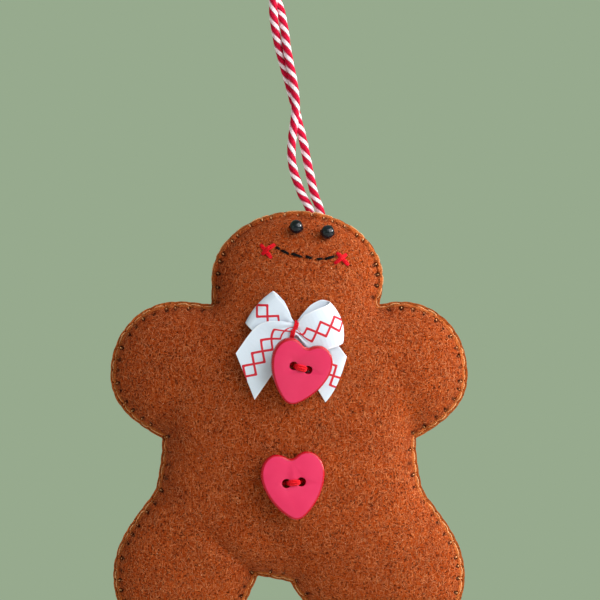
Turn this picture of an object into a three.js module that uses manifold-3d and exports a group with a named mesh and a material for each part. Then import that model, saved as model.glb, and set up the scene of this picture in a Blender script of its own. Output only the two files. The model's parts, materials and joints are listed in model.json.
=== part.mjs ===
// Stuffed felt gingerbread-man ornament on a twine loop.
// Millimetres, +Z up, the front faces -Y. The origin is the inner top of the loop, where a hook bears.
import * as THREE from 'three';
import { mergeVertices } from 'three/addons/utils/BufferGeometryUtils.js';
import Module from 'manifold-3d';

const wasm = await Module();
wasm.setup();

// sizes of the figure's outline, measured from the middle of the waist
const headWidth = 41.2;
const headTop = 55;
const headMid = 38.6;
const headShift = 2;
const neckWidth = 40.4;
const neckShift = 1.5;
const neckHeight = 32.6;
const armSpan = 85.8;
const armTopSpan = 53;
const armTop = 33.3;
const armTip = 15.6;
const armpitHeight = 0.4;
const waistWidth = 61;
const hipWidth = 63.6;
const hipHeight = -10.5;
const legSpan = 84.4;
const legTip = -32.4;
const footSpan = 48.8;
const footBottom = -50.2;
const crotchWidth = 7.6;
const crotchHeight = -33.3;
const crotchShift = -3.6;
const crotchSlant = 0.75;

// felt, seam and stuffing
const feltThickness = 1.2;
const puff = 0.6;
const clearance = 0.3;
const seamRim = 2.6;
const seamLedge = 1;
const seamThreadRadius = 0.25;
const edgeStep = 3;
const grainStep = 5.8;
const wadArmInset = 2.5;
const wadLegDrop = 7;

// threads
const threadRadius = 0.3;
const threadSides = 5;
const threadStep = 0.55;
const holeRadius = threadRadius + clearance;

// face, in a frame that is tilted like the head and measured from its top
const faceTilt = THREE.MathUtils.degToRad(-9.5);
const eyeSpacing = 7.6;
const eyeShift = 3.5;
const eyeDrop = 4.5;
const beadRadius = 1.7;
const mouthWidth = 13;
const mouthSag = 1.2;
const mouthShift = 1.7;
const mouthDrop = 10;
const mouthStitches = 6;
const stitchShare = 0.62;
const crossReach = 1.15;
const crossGap = 1.2;
const crossDrop = 0.7;

// bow, whose knot lies under the neck line
const knotShift = 1.3;
const knotDrop = 6;
const ribbonWidth = 10;
const ribbonThickness = 0.3;
const layerStep = 0.75;
const knotWidth = 3.1;
const knotPleat = 0.2;
const tailSlant = 3.4;
const wrapTurns = 2;
const wrapPitch = 0.85;
const wrapRadius = 0.25;
const wrapSlack = 1.25;
const wrapTilt = THREE.MathUtils.degToRad(-14);

// heart buttons, the upper one measured from the bow's knot
const buttonWidth = 15.2;
const buttonHeight = 16.2;
const buttonThickness = 2.6;
const buttonBevel = 0.7;
const buttonHoleSpacing = 3.6;
const buttonHoleRadius = 1.1;
const bellyButtonShift = 0.75;
const bellyButtonHeight = -9.8;
const bellyButtonTurn = THREE.MathUtils.degToRad(6);
const bellyButtonLean = THREE.MathUtils.degToRad(-5);
const bowButtonShift = 0.75;
const bowButtonDrop = 8.15;
const bowButtonTurn = THREE.MathUtils.degToRad(-17);
const bowButtonLean = THREE.MathUtils.degToRad(14);
const bowButtonSize = 0.96;
const bowButtonRise = 0.6;
const buttonYaw = THREE.MathUtils.degToRad(7);

// twine
const twineRadius = 1;
const twineSides = 8;
const twineSteps = 46;
const loopDrop = 65.4;
const tailLength = 8;
const tailWidth = 2.2;
const tailThickness = 0.7;

// places of the two twine ends on the head, and of the figure under them
const twineEndLeft = 5;
const twineEndRight = twineEndLeft + tailWidth + clearance + 0.1;
const twineEndHeight = headTop + clearance + twineRadius;
const figureX = 5.04;
const figureZ = -loopDrop - twineEndHeight;
const knotPlace = [knotShift, neckHeight - knotDrop];

const feltMaterial = new THREE.MeshStandardMaterial({ color: 0x9a4a22, roughness: 0.95 });
const fillMaterial = new THREE.MeshStandardMaterial({ color: 0xe9e4d8, roughness: 1 });
const seamMaterial = new THREE.MeshStandardMaterial({ color: 0xc07a45, roughness: 0.8 });
const blackThreadMaterial = new THREE.MeshStandardMaterial({ color: 0x151313, roughness: 0.8 });
const redThreadMaterial = new THREE.MeshStandardMaterial({ color: 0xd2232f, roughness: 0.7 });
const beadMaterial = new THREE.MeshStandardMaterial({ color: 0x0b0a0a, roughness: 0.12 });
const ribbonMaterial = new THREE.MeshStandardMaterial({ color: 0xeef1f6, roughness: 0.45 });
const buttonMaterial = new THREE.MeshStandardMaterial({ color: 0xd8204a, roughness: 0.3 });
const twineMaterial = new THREE.MeshStandardMaterial({ color: 0xd9646a, roughness: 0.9 });

function place(group, name, geometry, material) {
  const mesh = new THREE.Mesh(geometry, material);
  mesh.name = name;
  group.add(mesh);
  return mesh;
}

function solid(geometry) {
  const bare = geometry.clone();
  bare.deleteAttribute('normal');
  bare.deleteAttribute('uv');
  const merged = mergeVertices(bare, 1e-4);
  return new wasm.Manifold(new wasm.Mesh({
    numProp: 3,
    vertProperties: new Float32Array(merged.attributes.position.array),
    triVerts: new Uint32Array(merged.index.array),
  }));
}

function geometryOf(body) {
  const mesh = body.getMesh();
  const geometry = new THREE.BufferGeometry();
  geometry.setAttribute('position', new THREE.BufferAttribute(new Float32Array(mesh.vertProperties), 3));
  geometry.setIndex(new THREE.BufferAttribute(new Uint32Array(mesh.triVerts), 1));
  geometry.computeVertexNormals();
  return geometry;
}

function cut(body, tools) {
  return tools.reduce((rest, tool) => rest.subtract(tool), body);
}

// One side of the outline, from the head's top to the crotch. side is 1 on the right, -1 on the left.
function halfOutline(side) {
  const round = 0.5523;
  const point = (x, z) => new THREE.Vector2(x, z);
  const top = point(headShift, headTop);
  const temple = point(headShift + side * headWidth / 2, headMid);
  const neck = point(neckShift + side * neckWidth / 2, neckHeight);
  const shoulder = point(side * armTopSpan / 2, armTop);
  const hand = point(side * armSpan / 2, armTip);
  const armpit = point(side * waistWidth / 2, armpitHeight);
  const hip = point(side * hipWidth / 2, hipHeight);
  const ankle = point(side * legSpan / 2, legTip);
  const sole = point(side * footSpan / 2, footBottom);
  const crotch = point(crotchShift + side * crotchWidth / 2, crotchHeight - side * crotchSlant);
  const bezier = (a, b, c, d) => new THREE.CubicBezierCurve(a, b, c, d);
  return [
    bezier(top, point(headShift + side * headWidth / 2 * round, headTop),
      point(temple.x, headMid + (headTop - headMid) * round), temple),
    new THREE.QuadraticBezierCurve(temple, point(temple.x, (headMid + neckHeight) / 2), neck),
    bezier(neck, point(neck.x + side * 1.8, neckHeight + 0.3),
      point(shoulder.x - side * 2, armTop), shoulder),
    bezier(shoulder, point(shoulder.x + (hand.x - shoulder.x) * 0.58, armTop),
      point(hand.x, armTip + (armTop - armTip) * 0.58), hand),
    bezier(hand, point(hand.x, armTip - 7.1), point(armpit.x + side * 7, armpitHeight + 3.8), armpit),
    new THREE.QuadraticBezierCurve(armpit, point(armpit.x, (armpitHeight + hipHeight) / 2), hip),
    bezier(hip, point(hip.x + side * 0.4, hipHeight - 4), point(ankle.x, legTip + 10.9), ankle),
    bezier(ankle, point(ankle.x, legTip - (legTip - footBottom) * 0.57),
      point(sole.x + (ankle.x - sole.x) * 0.57, footBottom), sole),
    bezier(sole, point(side * 14, footBottom), point(crotch.x + side * 4.3, crotchHeight - 8.3), crotch),
  ];
}

// The whole outline as a ring of points, clockwise from the head's top.
function outlineRing(step) {
  const ring = [];
  const addCurve = (curve, backwards) => {
    const count = Math.max(2, Math.round(curve.getLength() / step));
    const points = curve.getSpacedPoints(count);
    if (backwards) {
      points.reverse();
    }
    ring.push(...points.slice(0, -1).map((p) => [p.x, p.y]));
  };
  const right = halfOutline(1);
  const left = halfOutline(-1).reverse();
  right.forEach((curve) => addCurve(curve, false));
  const across = new THREE.LineCurve(right[right.length - 1].v3, left[0].v3);
  addCurve(across, false);
  left.forEach((curve) => addCurve(curve, true));
  return ring;
}

function inside(ring, x, z) {
  let within = false;
  for (let i = 0, j = ring.length - 1; i < ring.length; j = i, i += 1) {
    const [xi, zi] = ring[i];
    const [xj, zj] = ring[j];
    if ((zi > z) !== (zj > z) && x < (xj - xi) * (z - zi) / (zj - zi) + xi) {
      within = !within;
    }
  }
  return within;
}

function edgeDistance(ring, x, z) {
  let best = Infinity;
  for (let i = 0, j = ring.length - 1; i < ring.length; j = i, i += 1) {
    const dx = ring[i][0] - ring[j][0];
    const dz = ring[i][1] - ring[j][1];
    const along = ((x - ring[j][0]) * dx + (z - ring[j][1]) * dz) / (dx * dx + dz * dz);
    const t = Math.min(1, Math.max(0, along));
    best = Math.min(best, Math.hypot(x - ring[j][0] - dx * t, z - ring[j][1] - dz * t));
  }
  return best;
}

function insetRing(ring, distance, spacing) {
  const count = ring.length;
  const kept = [];
  ring.forEach(([x, z], i) => {
    const before = ring[(i + count - 1) % count];
    const after = ring[(i + 1) % count];
    const first = new THREE.Vector2(z - before[1], before[0] - x).normalize();
    const second = new THREE.Vector2(after[1] - z, x - after[0]).normalize();
    const inward = first.add(second).normalize();
    const moved = [x + inward.x * distance, z + inward.y * distance];
    const clear = edgeDistance(ring, moved[0], moved[1]) > distance * 0.96;
    const apart = kept.every((p) => Math.hypot(p[0] - moved[0], p[1] - moved[1]) > spacing);
    if (clear && apart) {
      kept.push(moved);
    }
  });
  return kept;
}

function circumcircle(a, b, c) {
  const d = 2 * (a[0] * (b[1] - c[1]) + b[0] * (c[1] - a[1]) + c[0] * (a[1] - b[1]));
  const aa = a[0] * a[0] + a[1] * a[1];
  const bb = b[0] * b[0] + b[1] * b[1];
  const cc = c[0] * c[0] + c[1] * c[1];
  const x = (aa * (b[1] - c[1]) + bb * (c[1] - a[1]) + cc * (a[1] - b[1])) / d;
  const z = (aa * (c[0] - b[0]) + bb * (a[0] - c[0]) + cc * (b[0] - a[0])) / d;
  return { x, z, rr: (a[0] - x) ** 2 + (a[1] - z) ** 2 };
}

// Delaunay triangles of a point set, kept where their middle lies inside the ring.
function triangulate(points, ring) {
  const far = 2000;
  const all = points.concat([[-far, -far], [far, -far], [0, far]]);
  const make = (a, b, c) => ({ corners: [a, b, c], circle: circumcircle(all[a], all[b], all[c]) });
  let triangles = [make(points.length, points.length + 1, points.length + 2)];
  points.forEach(([x, z], index) => {
    const edges = new Map();
    triangles = triangles.filter(({ corners, circle }) => {
      if ((x - circle.x) ** 2 + (z - circle.z) ** 2 > circle.rr) {
        return true;
      }
      for (let k = 0; k < 3; k += 1) {
        const a = corners[k];
        const b = corners[(k + 1) % 3];
        const key = `${Math.min(a, b)}_${Math.max(a, b)}`;
        if (edges.has(key)) {
          edges.delete(key);
        } else {
          edges.set(key, [a, b]);
        }
      }
      return false;
    });
    edges.forEach(([a, b]) => triangles.push(make(a, b, index)));
  });
  return triangles.map((t) => t.corners).filter((corners) => {
    if (corners.some((i) => i >= points.length)) {
      return false;
    }
    const x = (points[corners[0]][0] + points[corners[1]][0] + points[corners[2]][0]) / 3;
    const z = (points[corners[0]][1] + points[corners[1]][1] + points[corners[2]][1]) / 3;
    return inside(ring, x, z);
  });
}

// Height of an evenly blown-up skin over the triangles, zero at every fixed point.
function swell(points, triangles, fixed) {
  const links = points.map(() => new Map());
  const load = points.map(() => 0);
  triangles.forEach((corners) => {
    const [a, b, c] = corners.map((i) => points[i]);
    const area = Math.abs((b[0] - a[0]) * (c[1] - a[1]) - (c[0] - a[0]) * (b[1] - a[1])) / 2;
    for (let k = 0; k < 3; k += 1) {
      const i = corners[k];
      const j = corners[(k + 1) % 3];
      const o = points[corners[(k + 2) % 3]];
      const dot = (points[i][0] - o[0]) * (points[j][0] - o[0])
        + (points[i][1] - o[1]) * (points[j][1] - o[1]);
      const weight = dot / (4 * area);
      links[i].set(j, (links[i].get(j) || 0) + weight);
      links[j].set(i, (links[j].get(i) || 0) + weight);
      load[i] += area / 3;
    }
  });
  const level = points.map(() => 0);
  for (let sweep = 0; sweep < 900; sweep += 1) {
    points.forEach((p, i) => {
      if (fixed[i]) {
        return;
      }
      let pull = load[i];
      let total = 0;
      links[i].forEach((weight, j) => {
        pull += weight * level[j];
        total += weight;
      });
      level[i] = pull / total;
    });
  }
  return level.map((value) => puff * Math.sqrt(Math.max(0, value)));
}

// A felt panel: its edge, its domed inner skin and its outer skin one felt thickness away.
function feltPanel(edge, side) {
  const rim = insetRing(outline, seamRim, edgeStep * 0.7);
  const bend = insetRing(outline, seamRim + 1.5, edgeStep * 0.9);
  const shoulder = insetRing(outline, seamRim + 4.2, edgeStep * 1.3);
  const grain = [];
  const rowStep = grainStep * 0.866;
  for (let row = 0; footBottom + row * rowStep < headTop; row += 1) {
    for (let column = 0; -armSpan / 2 + column * grainStep < armSpan / 2; column += 1) {
      const x = -armSpan / 2 + (column + (row % 2) / 2) * grainStep + 0.2 * Math.sin(row * 7 + column * 3);
      const z = footBottom + row * rowStep + 0.2 * Math.cos(row * 5 + column * 11);
      if (inside(outline, x, z) && edgeDistance(outline, x, z) > seamRim + 4.2 + grainStep * 0.6) {
        grain.push([x, z]);
      }
    }
  }
  const points = edge.concat(rim, bend, shoulder, grain);
  const flatCount = edge.length + rim.length;
  const triangles = triangulate(points, edge).map(([a, b, c]) => {
    const turn = (points[b][0] - points[a][0]) * (points[c][1] - points[a][1])
      - (points[c][0] - points[a][0]) * (points[b][1] - points[a][1]);
    return turn > 0 ? [a, b, c] : [a, c, b];
  });
  const dome = swell(points, triangles, points.map((p, i) => i < flatCount));
  const inner = points.map(([x, z], i) => new THREE.Vector3(x, side * (clearance / 2 + dome[i]), z));
  const normals = points.map(() => new THREE.Vector3());
  triangles.forEach(([a, b, c]) => {
    const first = inner[b].clone().sub(inner[a]);
    const face = first.cross(inner[c].clone().sub(inner[a])).multiplyScalar(-side);
    [a, b, c].forEach((i) => normals[i].add(face));
  });
  normals.forEach((normal, i) => {
    if (i < edge.length) {
      normal.set(0, side, 0);
    }
    normal.normalize();
  });
  const outer = inner.map((p, i) => p.clone().addScaledVector(normals[i], feltThickness));
  return { edgeCount: edge.length, flatCount, points, triangles, inner, outer, normals, side };
}

// A closed body between two skins that share one triangulation, walled along their border.
function bodyBetween(low, high, triangles, side) {
  const positions = low.concat(high).flatMap((p) => [p.x, p.y, p.z]);
  const lift = low.length;
  const index = [];
  const border = new Map();
  triangles.forEach(([a, b, c]) => {
    if (side < 0) {
      index.push(a + lift, b + lift, c + lift, a, c, b);
    } else {
      index.push(a + lift, c + lift, b + lift, a, b, c);
    }
    [[a, b], [b, c], [c, a]].forEach(([i, j]) => {
      const back = `${j}_${i}`;
      if (border.has(back)) {
        border.delete(back);
      } else {
        border.set(`${i}_${j}`, [i, j]);
      }
    });
  });
  border.forEach(([i, j]) => {
    if (side < 0) {
      index.push(i, j, j + lift, i, j + lift, i + lift);
    } else {
      index.push(i, j + lift, j, i, i + lift, j + lift);
    }
  });
  const geometry = new THREE.BufferGeometry();
  geometry.setAttribute('position', new THREE.Float32BufferAttribute(positions, 3));
  geometry.setIndex(index);
  const used = geometry.toNonIndexed();
  used.computeVertexNormals();
  return used;
}

function depthOn(skin, triangles, x, z) {
  for (const [a, b, c] of triangles) {
    const p = skin[a];
    const q = skin[b];
    const r = skin[c];
    const d = (q.x - p.x) * (r.z - p.z) - (r.x - p.x) * (q.z - p.z);
    const s = ((x - p.x) * (r.z - p.z) - (r.x - p.x) * (z - p.z)) / d;
    const t = ((q.x - p.x) * (z - p.z) - (x - p.x) * (q.z - p.z)) / d;
    if (s >= -1e-6 && t >= -1e-6 && s + t <= 1 + 1e-6) {
      return p.y + s * (q.y - p.y) + t * (r.y - p.y);
    }
  }
  return -clearance / 2 - feltThickness;
}

const outline = outlineRing(edgeStep);
const front = feltPanel(insetRing(outline, seamLedge, edgeStep * 0.5), -1);
const back = feltPanel(outline, 1);

// A spot on the front felt: the point on its face, and the way out of the felt there.
function spotOnFront(x, z, reach) {
  const depth = (dx, dz) => depthOn(front.outer, front.triangles, x + dx, z + dz);
  const slopeX = (depth(reach, 0) - depth(-reach, 0)) / (2 * reach);
  const slopeZ = (depth(0, reach) - depth(0, -reach)) / (2 * reach);
  return {
    point: new THREE.Vector3(x, depth(0, 0), z),
    out: new THREE.Vector3(slopeX, -1, slopeZ).normalize(),
  };
}

function lifted(spot, height) {
  return spot.point.clone().addScaledVector(spot.out, height);
}

// A path of straight runs whose corners are rounded.
function roundedPath(points, radius) {
  const path = new THREE.CurvePath();
  let start = points[0];
  for (let i = 1; i < points.length - 1; i += 1) {
    const toBack = points[i - 1].clone().sub(points[i]);
    const toNext = points[i + 1].clone().sub(points[i]);
    const reach = Math.min(radius, toBack.length() * 0.49, toNext.length() * 0.49);
    const enter = points[i].clone().addScaledVector(toBack.normalize(), reach);
    const leave = points[i].clone().addScaledVector(toNext.normalize(), reach);
    path.add(new THREE.LineCurve3(start, enter));
    path.add(new THREE.QuadraticBezierCurve3(enter, points[i], leave));
    start = leave;
  }
  path.add(new THREE.LineCurve3(start, points[points.length - 1]));
  return path;
}

function roundSection(radius, sides) {
  const section = new THREE.Shape();
  for (let i = 0; i < sides; i += 1) {
    const angle = 2 * Math.PI * (i + 0.5) / sides;
    section[i === 0 ? 'moveTo' : 'lineTo'](radius * Math.cos(angle), radius * Math.sin(angle));
  }
  return section;
}

function cord(path, radius, sides, steps) {
  return new THREE.ExtrudeGeometry(roundSection(radius, sides), { extrudePath: path, steps });
}

function thread(points, radius) {
  const path = roundedPath(points, 0.5);
  return cord(path, radius, threadSides, Math.ceil(path.getLength() / threadStep));
}

// A straight round pin along a line, used to open needle holes.
function pin(from, to, radius) {
  const length = from.distanceTo(to);
  const geometry = new THREE.CylinderGeometry(radius, radius, length, threadSides);
  const along = to.clone().sub(from).normalize();
  const turn = new THREE.Quaternion().setFromUnitVectors(new THREE.Vector3(0, 1, 0), along);
  geometry.applyQuaternion(turn);
  geometry.translate((from.x + to.x) / 2, (from.y + to.y) / 2, (from.z + to.z) / 2);
  return geometry;
}

// A closed skin over a row of rings, each a list of points, either capped or joined end to start.
function sweep(rings, joined) {
  const count = rings[0].length;
  const positions = rings.flat().flatMap((p) => [p.x, p.y, p.z]);
  const index = [];
  const last = joined ? rings.length : rings.length - 1;
  for (let i = 0; i < last; i += 1) {
    const next = (i + 1) % rings.length;
    for (let k = 0; k < count; k += 1) {
      const l = (k + 1) % count;
      index.push(i * count + k, next * count + k, next * count + l);
      index.push(i * count + k, next * count + l, i * count + l);
    }
  }
  if (!joined) {
    const end = (rings.length - 1) * count;
    const half = count / 2;
    for (let k = 0; k < half - 1; k += 1) {
      const far = count - 1 - k;
      index.push(k, k + 1, far - 1, k, far - 1, far);
      index.push(end + k, end + far - 1, end + k + 1, end + k, end + far, end + far - 1);
    }
  }
  const geometry = new THREE.BufferGeometry();
  geometry.setAttribute('position', new THREE.Float32BufferAttribute(positions, 3));
  geometry.setIndex(index);
  const flat = geometry.toNonIndexed();
  flat.computeVertexNormals();
  return flat;
}

// Face features turn with the head's tilt.
function facePlace([x, z], right, up) {
  const cos = Math.cos(faceTilt);
  const sin = Math.sin(faceTilt);
  return [x + right * cos - up * sin, z + right * sin + up * cos];
}

const laid = clearance + threadRadius;
const sunk = -(feltThickness + clearance + threadRadius);
const needleHoles = [];
const stuffingRoom = [];

function needle(x, z) {
  const spot = spotOnFront(x, z, 0.7);
  needleHoles.push(solid(pin(lifted(spot, 0.8), lifted(spot, -feltThickness - 0.8), holeRadius)));
  return { over: lifted(spot, laid), under: lifted(spot, sunk), spot };
}

const eyeMiddle = [headShift + eyeShift, headTop - eyeDrop];
const mouthMiddle = [headShift + mouthShift, headTop - mouthDrop];
const cheekMiddle = [mouthMiddle[0], mouthMiddle[1] - crossDrop];
const cheekSpacing = mouthWidth + 2 * (crossReach + crossGap);

// Mouth: one running stitch that shows as short dashes along a shallow smile.
function mouthThread() {
  const points = [];
  for (let stitch = 0; stitch < mouthStitches; stitch += 1) {
    const span = 1 / (mouthStitches - 1 + stitchShare);
    [stitch * span, (stitch + stitchShare) * span].forEach((share, end) => {
      const across = (share - 0.5) * 2;
      const [x, z] = facePlace(mouthMiddle, across * mouthWidth / 2, mouthSag * (across * across - 0.65));
      const hole = needle(x, z);
      points.push(...(end === 0 ? [hole.under, hole.over] : [hole.over, hole.under]));
    });
  }
  return points;
}

// Cheek: one thread makes the first bar, runs under the felt and comes back over it.
function cheekThread(middle) {
  const corner = (right, up) => needle(...facePlace(middle, right * crossReach, up * crossReach));
  const [a, b, c, d] = [corner(-1, -1), corner(1, 1), corner(1, -1), corner(-1, 1)];
  const hump = spotOnFront(middle[0], middle[1], 0.7);
  const bridge = lifted(hump, laid + 2 * threadRadius + clearance);
  return [a.under, a.over, b.over, b.under, c.under, c.over, bridge, d.over, d.under];
}

// Eye: the thread comes up beside the bead, goes through its bore and down on the other side.
function eyePieces(middle) {
  const spot = spotOnFront(middle[0], middle[1], 1.2);
  const centre = lifted(spot, beadRadius + clearance + 0.15);
  const beside = beadRadius + clearance + threadRadius + 0.1;
  const along = new THREE.Vector3(Math.cos(faceTilt), 0, Math.sin(faceTilt));
  along.addScaledVector(spot.out, -along.dot(spot.out)).normalize();
  const ends = [-1, 1].map((side) => {
    const high = centre.clone().addScaledVector(along, side * beside);
    const under = high.clone().addScaledVector(spot.out, sunk - beadRadius - clearance - 0.5);
    needleHoles.push(solid(pin(high, under, holeRadius)));
    return { high, under };
  });
  const profile = [];
  const bore = threadRadius + clearance;
  const steep = Math.asin(bore / beadRadius);
  for (let i = 0; i <= 8; i += 1) {
    const angle = steep + (Math.PI - 2 * steep) * i / 8;
    profile.push(new THREE.Vector2(beadRadius * Math.sin(angle), -beadRadius * Math.cos(angle)));
  }
  profile.push(profile[0].clone());
  const bead = new THREE.LatheGeometry(profile, 18);
  bead.applyQuaternion(new THREE.Quaternion().setFromUnitVectors(new THREE.Vector3(0, 1, 0), along));
  bead.translate(centre.x, centre.y, centre.z);
  return { bead, points: [ends[0].under, ends[0].high, ends[1].high, ends[1].under] };
}

// Heart button: a bevelled heart with two holes, which sit the given rise above its middle.
// Its face looks along local Z, its tip down local -Y.
function heartShape(size) {
  const half = size * buttonWidth / 2 - buttonBevel;
  const tall = size * buttonHeight / 2 - buttonBevel;
  const heart = new THREE.Shape();
  heart.moveTo(0, tall * 0.7);
  heart.bezierCurveTo(half * 0.16, tall * 0.75, half * 0.25, tall * 0.86, half * 0.5, tall * 0.86);
  heart.bezierCurveTo(half * 0.82, tall * 0.86, half, tall * 0.62, half, tall * 0.24);
  heart.bezierCurveTo(half, -tall * 0.28, half * 0.55, -tall * 0.88, half * 0.2, -tall * 1.07);
  heart.bezierCurveTo(half * 0.1, -tall * 1.12, -half * 0.1, -tall * 1.12, -half * 0.2, -tall * 1.07);
  heart.bezierCurveTo(-half * 0.55, -tall * 0.88, -half, -tall * 0.28, -half, tall * 0.24);
  heart.bezierCurveTo(-half, tall * 0.62, -half * 0.82, tall * 0.86, -half * 0.5, tall * 0.86);
  heart.bezierCurveTo(-half * 0.25, tall * 0.86, -half * 0.16, tall * 0.75, 0, tall * 0.7);
  return heart;
}

function heartButton(size, rise) {
  const blank = new THREE.ExtrudeGeometry(heartShape(size), {
    depth: buttonThickness - 2 * buttonBevel,
    bevelThickness: buttonBevel,
    bevelSize: buttonBevel,
    bevelSegments: 2,
    curveSegments: 6,
  });
  blank.translate(0, -rise, buttonBevel);
  const holes = [-1, 1].map((side) => {
    const hole = new THREE.CylinderGeometry(buttonHoleRadius, buttonHoleRadius, buttonThickness * 2, 14);
    hole.rotateX(Math.PI / 2);
    hole.translate(side * buttonHoleSpacing / 2, 0, buttonThickness / 2);
    return solid(hole);
  });
  return geometryOf(cut(solid(blank), holes));
}

// Where a button sits: over a spot on the felt, leaning from the felt's own slope, and moved out until
// its flat back clears everything that lies under it.
function buttonSeat(place, turn, lean, below) {
  const spot = spotOnFront(place[0], place[1], 4.5);
  const seat = new THREE.Group();
  seat.position.copy(spot.point);
  const upright = new THREE.Quaternion().setFromAxisAngle(new THREE.Vector3(1, 0, 0), Math.PI / 2);
  const slope = new THREE.Quaternion().setFromUnitVectors(new THREE.Vector3(0, -1, 0), spot.out);
  const tip = new THREE.Quaternion().setFromAxisAngle(new THREE.Vector3(1, 0, 0), lean);
  const spin = new THREE.Quaternion().setFromAxisAngle(new THREE.Vector3(0, 0, 1), turn);
  const aside = new THREE.Quaternion().setFromAxisAngle(new THREE.Vector3(0, 0, 1), buttonYaw);
  seat.quaternion.copy(slope).multiply(aside).multiply(tip).multiply(upright).multiply(spin);
  seat.updateMatrix();
  const toSeat = seat.matrix.clone().invert();
  const reach = Math.hypot(buttonWidth, buttonHeight) / 2 - 1;
  const heights = below.map((p) => p.clone().applyMatrix4(toSeat))
    .filter((p) => Math.hypot(p.x, p.y) < reach)
    .map((p) => p.z);
  const lift = Math.max(0, ...heights) + clearance;
  seat.position.copy(new THREE.Vector3(0, 0, lift).applyMatrix4(seat.matrix));
  seat.updateMatrix();
  return seat;
}

function cornersOf(geometry) {
  const position = geometry.attributes.position;
  const rows = Array.from({ length: position.count });
  return rows.map((_, i) => new THREE.Vector3().fromBufferAttribute(position, i));
}

// Button thread: up through one hole, across the face and down the other, straight along the seat's axis.
function buttonThread(seat) {
  const ends = [-1, 1].map((side) => {
    const across = side * buttonHoleSpacing / 2;
    const at = (height) => new THREE.Vector3(across, 0, height).applyMatrix4(seat.matrix);
    let height = 0;
    while (at(height).y < depthOn(front.outer, front.triangles, at(height).x, at(height).z)) {
      height -= 0.05;
    }
    const under = at(height + sunk - 0.15);
    needleHoles.push(solid(pin(at(height + 0.8), at(height - feltThickness - 0.9), holeRadius)));
    return { high: at(buttonThickness + laid), under };
  });
  return [ends[0].under, ends[0].high, ends[1].high, ends[1].under];
}

// Bow: stations along one ribbon. Each has its place right of and above the knot on a ribbon of bowGrid,
// its lift over the felt, how far the gather has opened, and the direction of the ribbon's width in degrees.
const bowGrid = 10;
const backLift = 2 * layerStep;
const middleLift = 3 * layerStep;
const frontLift = 4 * layerStep;
const bowStations = [
  { at: [-11.7, -11.2], lift: 0.6, width: 1, lean: 147, slant: 1 },
  { at: [-9.0, -7.3], lift: 1.4, width: 1, lean: 146 },
  { at: [-7.0, -4.35], lift: 2.2, width: 0.98, lean: 143 },
  { at: [-5.2, -1.95], lift: 2.9, width: 0.85, lean: 134 },
  { at: [-2.9, -0.56], lift: 3.15, width: 0.24, lean: 114 },
  { at: [0, 0], lift: frontLift, width: 0, lean: 104 },
  { at: [2.4, -0.4], lift: 3.15, width: 0.28, lean: 110 },
  { at: [4.3, -0.5], lift: 3.4, width: 0.8, lean: 111 },
  { at: [7.1, 0.1], lift: 3.6, width: 1, lean: 111 },
  { at: [9.7, 1.1], lift: 3.3, width: 1, lean: 109 },
  { at: [10.6, 1.8], lift: 2.3, width: 1, lean: 108 },
  { at: [10.0, 2.1], lift: 1.3, width: 1, lean: 106 },
  { at: [7.8, 2.2], lift: 1.0, width: 1, lean: 103 },
  { at: [5.0, 1.6], lift: 0.9, width: 0.86, lean: 100 },
  { at: [2.4, 0.75], lift: 1.25, width: 0.24, lean: 98 },
  { at: [0, 0], lift: backLift, width: 0, lean: 92 },
  { at: [-1.7, 0.5], lift: 1.3, width: 0.22, lean: 66 },
  { at: [-3.7, 1.5], lift: 1.0, width: 0.66, lean: 51 },
  { at: [-5.8, 3.3], lift: 0.8, width: 0.95, lean: 49 },
  { at: [-7.7, 5.0], lift: 0.8, width: 1, lean: 49 },
  { at: [-8.5, 5.55], lift: 1.45, width: 1, lean: 49 },
  { at: [-7.8, 4.6], lift: 2.1, width: 1, lean: 48 },
  { at: [-5.7, 2.5], lift: 2.0, width: 0.97, lean: 47 },
  { at: [-3.7, 1.2], lift: 2.0, width: 0.66, lean: 49 },
  { at: [-1.7, 0.35], lift: 2.15, width: 0.22, lean: 64 },
  { at: [0, 0], lift: middleLift, width: 0, lean: 66 },
  { at: [2.4, -1.7], lift: 2.2, width: 0.24, lean: 44 },
  { at: [5.4, -4.9], lift: 2.0, width: 0.86, lean: 30 },
  { at: [7.8, -8.4], lift: 1.3, width: 1, lean: 26 },
  { at: [10.3, -12.0], lift: 0.6, width: 1, lean: 24, slant: 1 },
];

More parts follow.
